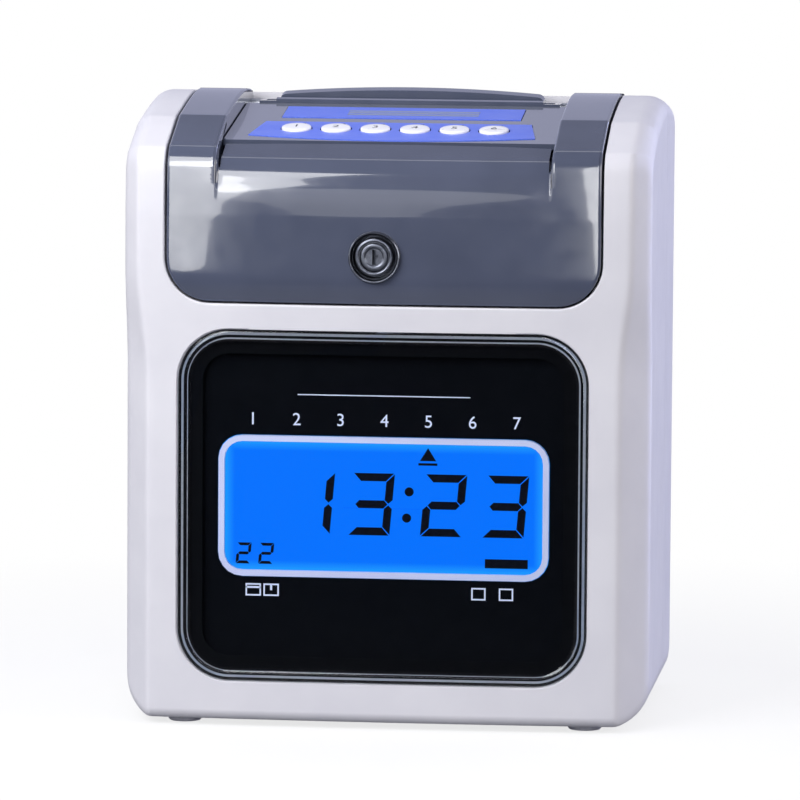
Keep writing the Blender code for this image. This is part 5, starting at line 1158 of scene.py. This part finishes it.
# %% Card throat
THROAT = {"half": 64.2, "depth": (100.2, 114.5), "height": (232.3, 254.5)}
GROOVE = {"half": 61.7, "depth": (102.7, 109.3), "floor": 249.0}
BAR = {"half": 56.7, "depth": (109.3, 114.5), "top": 260.0, "fall": 2.4, "corner": 3.0}
GUIDE = {"half": 57.0, "depth": (100.2, 102.7), "height": (250.0, 255.8)}
BAR_BASE = 240.0
SLIT = ((-45.0, 45.0), (103.5, 108.5), (200.0, OUT))
TOP_SLOPE = 0.2
THROAT_BEVEL = {"width": 0.8, "angle": 40.0}
THROAT_ANGLE = 35.0


def across_middle(name, sizes, height):
    """A block as wide to the left as to the right."""
    return block(name, (-sizes["half"], sizes["half"]), sizes["depth"], height)


def sloped(piece):
    """Lets the top fall towards the front, so that it mirrors the bright room behind the clock."""
    rear = max(vertex.co.y for vertex in piece.data.vertices)
    for vertex in piece.data.vertices:
        if vertex.co.z > THROAT["height"][1] * MILLIMETRE:
            vertex.co.z -= (rear - vertex.co.y) * TOP_SLOPE
    return piece


throat = across_middle("throat", THROAT, THROAT["height"])
ridge = BAR["half"] - BAR["corner"]
arch = [(x, BAR["top"] - BAR["fall"] * (x / BAR["half"]) ** 2) for x in steps(ridge, -ridge, 16)]
bend_low = arch[0][1] - BAR["corner"]
bend = [(ridge + across, bend_low + up) for across, up in arc(BAR["corner"], 0, 90, 6)[:-1]]
bar_outline = [(-BAR["half"], BAR_BASE), (BAR["half"], BAR_BASE), *bend, *arch]
bar_outline += [(-x, height) for x, height in reversed(bend)]
guide = across_middle("guide", GUIDE, GUIDE["height"])
carve(throat, sloped(guide), operation="UNION")
carve(throat, sloped(prism("bar", bar_outline, *BAR["depth"])), operation="UNION")
carve(throat, across_middle("groove", GROOVE, (GROOVE["floor"], OUT)), block("slit", *SLIT))
modified(
    done(throat), "BEVEL", width=THROAT_BEVEL["width"] * MILLIMETRE, segments=3, limit_method="ANGLE",
    angle_limit=math.radians(THROAT_BEVEL["angle"]), use_clamp_overlap=True,
)
shown(throat, "card_throat", "blue_grey_abs", "casing", THROAT_ANGLE)

# %% [markdown]
# ## Materials
# Each material is named for what it is made of. A colour alone looks like a computer drawing, so every
# one has something that its making left behind: the fine grain of an eroded mould, turning marks,
# brushing, a weave. The patterns lie on Object coordinates, and all objects stand at the world's
# origin, so a scale in millimetres is a real size.

# %% Helpers for materials
FINISHES = {}


def colour(code):
    """Linear colour from an sRGB hex code."""
    parts = [int(code[i:i + 2], 16) / 255 for i in (1, 3, 5)]
    linear = [part / 12.92 if part <= 0.04045 else ((part + 0.055) / 1.055) ** 2.4 for part in parts]
    return linear + [1.0]


def node(tree, kind, inputs=None, **settings):
    """Adds a node, sets its settings, and gives each input a value or links an output to it."""
    made = tree.nodes.new(f"ShaderNode{kind}")
    for name, value in settings.items():
        setattr(made, name, value)
    for name, value in (inputs or {}).items():
        if isinstance(value, bpy.types.NodeSocket):
            tree.links.new(value, made.inputs[name])
        else:
            made.inputs[name].default_value = value
    return made


def lumps(where, size, detail=2.0):
    """The inputs of a noise whose lumps are about a size in millimetres."""
    return {"Vector": where, "Scale": 1.0 / (size * MILLIMETRE), "Detail": detail}


def bands(where, size):
    """The inputs of a wave whose bands are a size in millimetres: it draws 20 radians for each unit."""
    return {"Vector": where, "Scale": math.pi / 10 / (size * MILLIMETRE)}


def limits(value, start, end, low, high):
    """The inputs of a range: what comes in, between which levels, and what they become."""
    return {"Value": value, "From Min": start, "From Max": end, "To Min": low, "To Max": high}


def material(name, making, **settings):
    """A Principled material, kept under its slot's name. Returns its tree, shader and coordinates."""
    FINISHES[name] = bpy.data.materials.new(f"{name}_{making}")
    FINISHES[name].use_nodes = True
    tree = FINISHES[name].node_tree
    tree.nodes.clear()
    shader = node(tree, "BsdfPrincipled", {
        key: colour(value) if isinstance(value, str) else value for key, value in settings.items()
    })
    node(tree, "OutputMaterial", {"Surface": shader.outputs["BSDF"]}, name="output")
    return tree, shader, node(tree, "TexCoord").outputs["Object"]


LEVELS = (0.3, 0.7)


def finish(tree, shader, tones, sheen=None, relief=None):
    """Lets patterns drive a surface. The tones are a pattern, its dark and light colour and their levels,
    the sheen is a pattern, two roughnesses and their levels, and the relief is a pattern and a height in
    millimetres."""
    pattern, dark, light, *levels = tones
    ramp = node(tree, "ValToRGB", {"Fac": pattern})
    for stop, level, code in zip(ramp.color_ramp.elements, levels or LEVELS, (dark, light)):
        stop.position = level
        stop.color = colour(code)
    driven = {"Base Color": ramp.outputs["Color"]}
    if sheen:
        pattern, low, high, *levels = sheen
        levels = levels or LEVELS
        driven["Roughness"] = node(tree, "MapRange", limits(pattern, *levels, low, high)).outputs["Result"]
    if relief:
        pattern, height = relief
        bump = node(tree, "Bump", {"Height": pattern, "Distance": height * MILLIMETRE})
        driven["Normal"] = bump.outputs["Normal"]
    for name, output in driven.items():
        tree.links.new(output, shader.inputs[name])


# %% [markdown]
# ## Moulded plastics
# Plastic copies the surface of its mould. The white casing comes out of an eroded, matt mould, so its
# sheen is broad and soft, and the lid comes out of a polished one, so it mirrors the lamps. One function
# makes both: it mixes a faint cloudiness of pigment, a grain of real size and an uneven gloss.

# %% Moulded plastics
CLOUD = 26.0
GLOSS_PATCH = 9.0


def moulded(name, dark, light, roughness, grain, height, making="spark_eroded", **settings):
    """Plastic with the grain of its mould, which breaks up the gloss, and faintly cloudy pigment."""
    tree, shader, where = material(name, making, **settings)
    cloud = node(tree, "TexNoise", lumps(where, CLOUD, 3.0)).outputs["Fac"]
    pebbles = node(tree, "TexNoise", lumps(where, grain)).outputs["Fac"]
    patches = node(tree, "TexNoise", lumps(where, GLOSS_PATCH, 4.0)).outputs["Fac"]
    finish(tree, shader, (cloud, dark, light), (patches, roughness - 0.04, roughness + 0.05),
           (pebbles, height))


# White ABS with a blue whitener, eroded matt. The grain gives the soft sheen along the edges. Real grain
# of such a mould is about 0.1 mm. Here and below it is drawn several times coarser, so that it shows.
moulded("white_abs", "#D3D2D8", "#D9D8DD", 0.42, 0.55, 0.012, **{"Specular IOR Level": 0.4})
# The lid's ABS comes from a polished mould: dark, glossy, with the mirror a little wavy.
moulded(
    "blue_grey_abs", "#484E60", "#4E5467", 0.12, 3.2, 0.003, "polished_mould",
    **{"Coat Weight": 0.9, "Coat Roughness": 0.03, "IOR": 1.5},
)
moulded("black_plastic", "#08090B", "#0C0E11", 0.38, 0.45, 0.010)
moulded("pale_plastic", "#EAE6F0", "#F0EDF5", 0.40, 0.5, 0.008)
moulded(
    "key_white", "#F0F0F4", "#F6F6F9", 0.30, 0.7, 0.004, **{"Coat Weight": 0.2, "Coat Roughness": 0.1}
)
# Nylon lets some light in, which softens its shadows.
moulded(
    "white_nylon", "#DEDCD0", "#E8E6DC", 0.45, 0.8, 0.006,
    **{"Subsurface Weight": 0.2, "Subsurface Scale": 0.002},
)
print("moulded:", sorted(FINISHES))

# %% [markdown]
# ## Rubber, film, prints and ink
# These are thin or dull things with little gloss. What tells them apart is how their surface varies:
# dust in rubber, a lacquer's texture on film, uneven cover of a screen print, and the ribbon's weave.

# %% Rubber and label film
# Rubber is dull, and dust in its pores makes it greyer where it is rough. The feet are of pale rubber.
for name, dark, light in (("rubber", "#151516", "#242426"), ("pale_rubber", "#C4C4CB", "#D2D2D8")):
    tree, shader, where = material(name, "moulded", **{"Specular IOR Level": 0.3})
    dust = node(tree, "TexNoise", lumps(where, 1.6, 5.0)).outputs["Fac"]
    pores = node(tree, "TexNoise", lumps(where, 0.35)).outputs["Fac"]
    finish(tree, shader, (dust, dark, light), (dust, 0.72, 0.92), (pores, 0.03))

# Label film: printed blue behind a fine lacquer texture, which spreads the highlight.
tree, shader, where = material(
    "label_blue", "printed_film", **{"Coat Weight": 0.15, "Coat Roughness": 0.3}
)
dots, patches, lacquer = (
    node(tree, "TexNoise", lumps(where, size, detail)).outputs["Fac"]
    for size, detail in ((0.25, 2.0), (12.0, 3.0), (0.2, 2.0))
)
finish(tree, shader, (dots, "#4C69E2", "#637FEE"), (patches, 0.3, 0.42), (lacquer, 0.01))

# %% Prints and ink
# White, dark and grey screen prints: slightly thick ink whose edge and cover vary. The silver one is not a
# print of the real plate but a painted highlight: thin light rings that stand in for the light caught by the
# window's bevelled rim.
for name, dark, light in (
    ("print_white", "#EEF0F4", "#FDFDFE"), ("print_dark", "#1E2434", "#2A3146"),
    ("print_grey", "#747E9C", "#8993AE"), ("print_silver", "#7C818C", "#979DA9"),
):
    tree, shader, where = material(name, "screen_printed")
    cover = node(tree, "TexNoise", lumps(where, 0.5, 3.0)).outputs["Fac"]
    finish(tree, shader, (cover, dark, light, 0.2, 0.5), (cover, 0.45, 0.65))

# The black behind the window is ink under the acrylic, so it has no gloss of its own.
tree, shader, where = material("print_black", "screen_printed", **{"Specular IOR Level": 0.05})
cover = node(tree, "TexNoise", lumps(where, 0.6, 3.0)).outputs["Fac"]
patches = node(tree, "TexNoise", lumps(where, 7.0)).outputs["Fac"]
finish(tree, shader, (cover, "#050608", "#090B0E"), (patches, 0.6, 0.8))

# Liquid crystal that is switched on: near black, with a blue cast from the light behind it.
tree, shader, where = material(
    "lcd_ink", "liquid_crystal", **{"Roughness": 0.5, "Specular IOR Level": 0.08}
)
crystals = node(tree, "TexNoise", lumps(where, 1.2)).outputs["Fac"]
finish(tree, shader, (crystals, "#04070E", "#070C18"))

# The ribbon is woven nylon with ink in it: two crossing waves make the weave. Its real threads are about
# 0.1 mm thick, and they are drawn three times as thick, so that they show.
CROSSING = ("X", "Z")
THREAD = 0.349
tree, shader, where = material("ribbon_ink", "woven_nylon", **{"Sheen Weight": 0.2})
threads = [
    node(tree, "TexWave", bands(where, THREAD), bands_direction=way).outputs["Fac"] for way in CROSSING
]
weave = node(tree, "Math", dict(enumerate(threads)), operation="MULTIPLY").outputs["Value"]
finish(tree, shader, (weave, "#0C0C10", "#20202A", 0.1, 0.9), (weave, 0.95, 0.7, 0.0, 1.0), (weave, 0.05))
print("with film, prints and ink:", len(FINISHES))

# %% [markdown]
# ## The display
# The blue comes from a lamp behind liquid crystal cells. Emission gives the light, a touch brighter and
# greener towards the edge where the lamps sit, and two crossing waves give the fine grid of cells.

# %% Display
CELL = 0.3927
LCD_MIDDLE = 92.0
LCD_HALF = {"X": 67.0, "Z": 27.5}
EDGE_GLOW = 5.0
tree, shader, where = material(
    "lcd_blue", "back_lit_cells",
    **{"Base Color": "#021432", "Roughness": 0.4, "Specular IOR Level": 0.08},
)
shift = node(tree, "VectorMath", {0: where, 1: place(0.0, FRONT_TO_MIDDLE, LCD_MIDDLE)},
             operation="SUBTRACT").outputs["Vector"]
parts = node(tree, "SeparateXYZ", {"Vector": shift}).outputs
edges = []
for axis, half in LCD_HALF.items():
    reach = node(tree, "Math", {0: parts[axis]}, operation="ABSOLUTE").outputs["Value"]
    start, end = (half - EDGE_GLOW) * MILLIMETRE, half * MILLIMETRE
    edges.append(node(tree, "MapRange", limits(reach, start, end, 0.0, 1.0)).outputs["Result"])
edge = node(tree, "Math", dict(enumerate(edges)), operation="MAXIMUM").outputs["Value"]
glow = node(tree, "ValToRGB", {"Fac": edge})
for stop, level, code in zip(glow.color_ramp.elements, (0.1, 0.8), ("#0078FF", "#1EA0FF")):
    stop.position = level
    stop.color = colour(code)
cells = [
    node(tree, "TexWave", bands(where, CELL), bands_direction=way).outputs["Fac"] for way in CROSSING
]
grid = node(tree, "Math", dict(enumerate(cells)), operation="MINIMUM").outputs["Value"]
strength = node(tree, "MapRange", limits(grid, 0.0, 1.0, 0.94, 1.02)).outputs["Result"]
tree.links.new(glow.outputs["Color"], shader.inputs["Emission Color"])
tree.links.new(strength, shader.inputs["Emission Strength"])
print("cells across the display:", round(LCD_HALF["X"] * 2 / CELL))

# %% [markdown]
# ## Clear acrylic
# Glass everywhere would need many bounces of light and would darken the display. So the middle of the
# plate is a clear film that mirrors a little at a glance, as its Fresnel weight says. Its bevelled rim
# bends what lies behind it, so there it is real glass with the index of acrylic.

# %% Clear acrylic
tree, shader, where = material(
    "clear_acrylic", "polished", Roughness=0.03, IOR=1.49,
    **{"Base Color": "#F4F8FF", "Transmission Weight": 1.0},
)
clear = node(tree, "BsdfTransparent", {"Color": colour("#F6F9FF")}).outputs["BSDF"]
patches = node(tree, "TexNoise", lumps(where, 14.0, 4.0)).outputs["Fac"]
polish = node(tree, "MapRange", limits(patches, *LEVELS, 0.02, 0.06)).outputs["Result"]
gloss = node(tree, "BsdfGlossy", {"Color": colour("#FFFFFF"), "Roughness": polish}).outputs["BSDF"]
fresnel = node(tree, "Fresnel", {"IOR": 1.1}).outputs["Fac"]
pane = node(tree, "MixShader", {"Fac": fresnel, 1: clear, 2: gloss}).outputs["Shader"]
is_rim = node(tree, "Attribute", attribute_name="rim").outputs["Fac"]
both = node(tree, "MixShader", {"Fac": is_rim, 1: pane, 2: shader.outputs["BSDF"]})
tree.links.new(both.outputs["Shader"], tree.nodes["output"].inputs["Surface"])
print("nodes of the acrylic:", len(tree.nodes))

# %% [markdown]
# ## Metals
# Sheet, rod and turned metal differ by the direction of their fine lines. Noise that is stretched along
# one axis gives the lines of rolling, and rings round the lock's axis give those of a lathe.

# %% Metals
def brushed(name, making, dark, light, roughness, stretch):
    """Metal with the fine parallel lines of rolling or turning along x."""
    tree, shader, where = material(name, making, Metallic=1.0)
    along = node(tree, "Mapping", {"Vector": where, "Scale": (stretch, 1.0, 1.0)}).outputs["Vector"]
    lines = node(tree, "TexNoise", lumps(along, 0.9, 4.0)).outputs["Fac"]
    stain = node(tree, "TexNoise", lumps(where, 11.0, 3.0)).outputs["Fac"]
    finish(tree, shader, (stain, dark, light), (lines, roughness - 0.08, roughness + 0.1), (lines, 0.004))


# Zinc plate is bluish and cloudy over the rolled sheet below it. Brass is warm and a little smoother.
brushed("zinc_steel", "rolled_and_plated", "#A3A7AE", "#C2C5CB", 0.36, 0.06)
brushed("brass", "turned", "#B8923F", "#D0AE62", 0.30, 0.08)

# The lock is turned and then plated with dark nickel: rings round its axis catch the light. A real tool
# leaves finer rings than these, which are as coarse as they need to be to show.
TURNING = 0.4488
tree, shader, where = material("lock_metal", "turned_nickel", Metallic=1.0)
axis = node(tree, "VectorMath", {0: where, 1: place(LOCK[0], FRONT_TO_MIDDLE, LOCK[1])},
            operation="SUBTRACT").outputs["Vector"]
rings = node(tree, "TexWave", {**bands(axis, TURNING), "Distortion": 1.2},
             wave_type="RINGS", rings_direction="Y").outputs["Fac"]
stain = node(tree, "TexNoise", lumps(where, 4.0)).outputs["Fac"]
finish(tree, shader, (stain, "#5A5E68", "#7C808A"), (rings, 0.26, 0.4, 0.0, 1.0), (rings, 0.006))

# The transformer's core is a stack of thin varnished sheets, and its coil is taped.
CORE_SHEET = 1.0
tree, shader, where = material("transformer_steel", "laminated", Metallic=0.7)
sheets = node(tree, "TexWave", bands(where, CORE_SHEET), bands_direction="Y").outputs["Fac"]
finish(tree, shader, (sheets, "#4E4134", "#7C6A58", 0.2, 0.8), (sheets, 0.62, 0.42, 0.0, 1.0),
       (sheets, 0.08))
print("with metals:", len(FINISHES))

# %% [markdown]
# ## The circuit board
# A board could have a picture of its tracks laid on it. A brick pattern does the same from numbers: its
# mortar is the track, a little lighter and a little raised under the green solder mask.

# %% Circuit board
BRICK = {"Brick Width": 0.7, "Row Height": 0.2, "Mortar Size": 0.012, "Mortar Smooth": 0.2}
BRICKS_PER_METRE = 90.0
tree, shader, where = material(
    "circuit_board", "solder_mask", **{"Coat Weight": 0.4, "Coat Roughness": 0.12}
)
turned_where = node(tree, "Mapping", {"Vector": where, "Rotation": (math.radians(90), 0.0, 0.0)})
tracks = node(tree, "TexBrick", {
    "Vector": turned_where.outputs["Vector"], "Scale": BRICKS_PER_METRE, **BRICK,
}).outputs["Fac"]
patches = node(tree, "TexNoise", lumps(where, 5.0)).outputs["Fac"]
finish(tree, shader, (tracks, "#16563A", "#2F8A58", 0.2, 0.8), (patches, 0.3, 0.42), (tracks, 0.03))
print("materials:", len(bpy.data.materials))

# %% [markdown]
# ## Dressing every piece
# Each piece takes the material of its slot. The solids of the mechanism have no finer model: they keep
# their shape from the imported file, and only their material changes. The feet are dressed in pale rubber.

# %% Dressing
dressed = {}
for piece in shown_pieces():
    own = piece.get("finish") or piece.get("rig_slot") or piece.data.materials[0].name
    if piece.name.startswith("foot_"):
        own = "pale_rubber"
    piece.data.materials.clear()
    piece.data.materials.append(FINISHES[own])
    dressed[own] = dressed.get(own, 0) + 1
print(dressed)

# %% [markdown]
# ## The set
# A pale table in a room of light, as for a catalogue. The table fades out round the clock, so that it
# keeps the shadow and has no edge. The camera sees pure white behind the clock, because its own rays, and
# those that pass through the window, meet a white world, and all other rays meet a dimmer room.

# %% Floor
FLOOR_SIZE = 12.0
FADE = (0.2, 0.5)
FLOOR_SHOWS = 0.24
deselect()
bpy.ops.mesh.primitive_plane_add(size=FLOOR_SIZE, location=(0.0, 0.0, 0.0))
floor = added("floor")
tree, shader, where = material("pale_floor", "painted", Roughness=0.7, **{"Specular IOR Level": 0.2})
mottle = node(tree, "TexNoise", lumps(where, 60.0, 3.0)).outputs["Fac"]
finish(tree, shader, (mottle, "#F6F6F7", "#F9F9FA"))
away = node(tree, "VectorMath", {0: where}, operation="LENGTH").outputs["Value"]
fading = node(tree, "MapRange", limits(away, *FADE, FLOOR_SHOWS, 0.0)).outputs["Result"]
tree.links.new(fading, shader.inputs["Alpha"])
floor.data.materials.append(FINISHES["pale_floor"])
print("floor:", FLOOR_SIZE, "m, gone at", FADE[1], "m")

# %% [markdown]
# ### The room
# The room is grey above and nearly dark below the table. Only behind the clock and low down is it bright,
# and that gives the flat tops their sheen. Each level is worked out from the direction of a ray.

# %% World
BEHIND = (0.0, 0.3)
LOW = (0.50, 0.60)
HORIZON = (-0.04, 0.04)
ROOM_LEVELS = (0.32, 0.62)
BELOW_TABLE = 0.08
world = bpy.data.worlds.new("studio")
bpy.context.scene.world = world
world.use_nodes = True
tree = world.node_tree
tree.nodes.clear()
rays = node(tree, "LightPath").outputs
direction = node(tree, "TexCoord").outputs["Generated"]
parts = node(tree, "SeparateXYZ", {"Vector": direction}).outputs
behind, low, above = (
    node(tree, "MapRange", limits(parts[axis], *between, *becomes)).outputs["Result"]
    for axis, between, becomes in (
        ("Y", BEHIND, (0.0, 1.0)), ("Z", LOW, (1.0, 0.0)), ("Z", HORIZON, (0.0, 1.0)),
    )
)
backdrop = node(tree, "Math", {0: behind, 1: low}, operation="MULTIPLY").outputs["Value"]
lit = node(tree, "MapRange", limits(backdrop, 0.0, 1.0, *ROOM_LEVELS)).outputs["Result"]
strength = node(tree, "MapRange", limits(above, 0.0, 1.0, BELOW_TABLE, lit)).outputs["Result"]
seen = node(tree, "Math", {0: rays["Is Camera Ray"], 1: rays["Is Transmission Ray"]},
            operation="MAXIMUM").outputs["Value"]
white = node(tree, "Background", {"Color": colour("#FFFFFF"), "Strength": 1.0})
room = node(tree, "Background", {"Color": colour("#DDE0FF"), "Strength": strength})
blend = node(tree, "MixShader", {
    "Fac": seen, 1: room.outputs["Background"], 2: white.outputs["Background"],
})
node(tree, "OutputWorld", {"Surface": blend.outputs["Shader"]})
print("world nodes:", len(tree.nodes))

# %% [markdown]
# ### The lamps
# A dark, glossy lid shows what stands round it, so the lamps are placed by what they do there. A tall
# narrow one on the left draws the bright band down the left arm, another draws the thin one on the
# right, and a round one in front lightens the middle. The nearest one stands above and to the left. It
# makes the front fade downwards, and from there the lid's brow mirrors it only in its left end. A
# bluish lamp behind the clock lights only its right side.

# %% Lamps
CLOCK = (0.0, 0.0, 0.14)
WHITE = "#FFFFFF"
LAMPS = (
    # name, where, aim, size, power, tint and shape, in metres and watts
    ("top_rear", (-0.1, 0.45, 1.35), CLOCK, (1.6, 0.35), 2.0, WHITE, "RECTANGLE"),
    ("key", (-0.35, -0.5, 0.57), CLOCK, (0.46, 0.46), 4.3, WHITE, "RECTANGLE"),
    ("left_strip", (-0.505, -1.42, 0.62), (-0.1, 0.0, 0.62), (0.2, 1.2), 3.8, WHITE, "ELLIPSE"),
    ("front", (-0.28, -2.0, 0.66), (0.0, 0.0, 0.3), (0.8, 1.05), 2.4, WHITE, "ELLIPSE"),
    ("right_strip", (0.247, -1.485, 0.62), (0.0, 0.0, 0.62), (0.11, 1.3), 3.0, WHITE, "ELLIPSE"),
    ("left", (-1.5, -0.15, 0.6), CLOCK, (0.8, 0.8), 5.5, WHITE, "RECTANGLE"),
    ("right_front", (1.05, -0.25, 0.5), CLOCK, (0.6, 0.6), 5.5, "#FFFAF2", "RECTANGLE"),
    ("right", (1.0, 1.15, 0.3), CLOCK, (0.8, 1.0), 9.5, "#C6CEFF", "RECTANGLE"),
)


def facing(start, target):
    """The turn that points a lamp or a camera at a place."""
    return (Vector(target) - Vector(start)).to_track_quat("-Z", "Y")


for name, where, aim, size, power, tint, shape in LAMPS:
    deselect()
    bpy.ops.object.light_add(type="AREA", location=where, rotation=facing(where, aim).to_euler())
    light = bpy.context.object
    light.name = name
    light.data.shape = shape
    light.data.size, light.data.size_y = size
    light.data.energy = power
    light.data.color = colour(tint)[:3]
print("lamps:", len(LAMPS), "with", round(sum(lamp[4] for lamp in LAMPS), 1), "watts")

# %% [markdown]
# ## The camera
# A long lens from three metres keeps the sides nearly parallel, as in a catalogue. Its place was found
# by matching the corners of the real photograph.

# %% Camera
VIEW = {"from": (331.2, -2989.8, 468.0), "at": (2.9, -26.8, 133.4), "roll": 0.37, "lens": 322.0}
FILM_WIDTH = 36.0
deselect()
eye, aim = (Vector(VIEW[key]) * MILLIMETRE for key in ("from", "at"))
turn = facing(eye, aim).to_matrix() @ Matrix.Rotation(math.radians(VIEW["roll"]), 3, "Z")
bpy.ops.object.camera_add(location=eye, rotation=turn.to_euler())
camera = bpy.context.object
camera.data.lens = VIEW["lens"]
camera.data.sensor_width = FILM_WIDTH
bpy.context.scene.camera = camera
bpy.context.scene.view_settings.view_transform = "Standard"
print("camera:", round((aim - eye).length, 2), "m away")
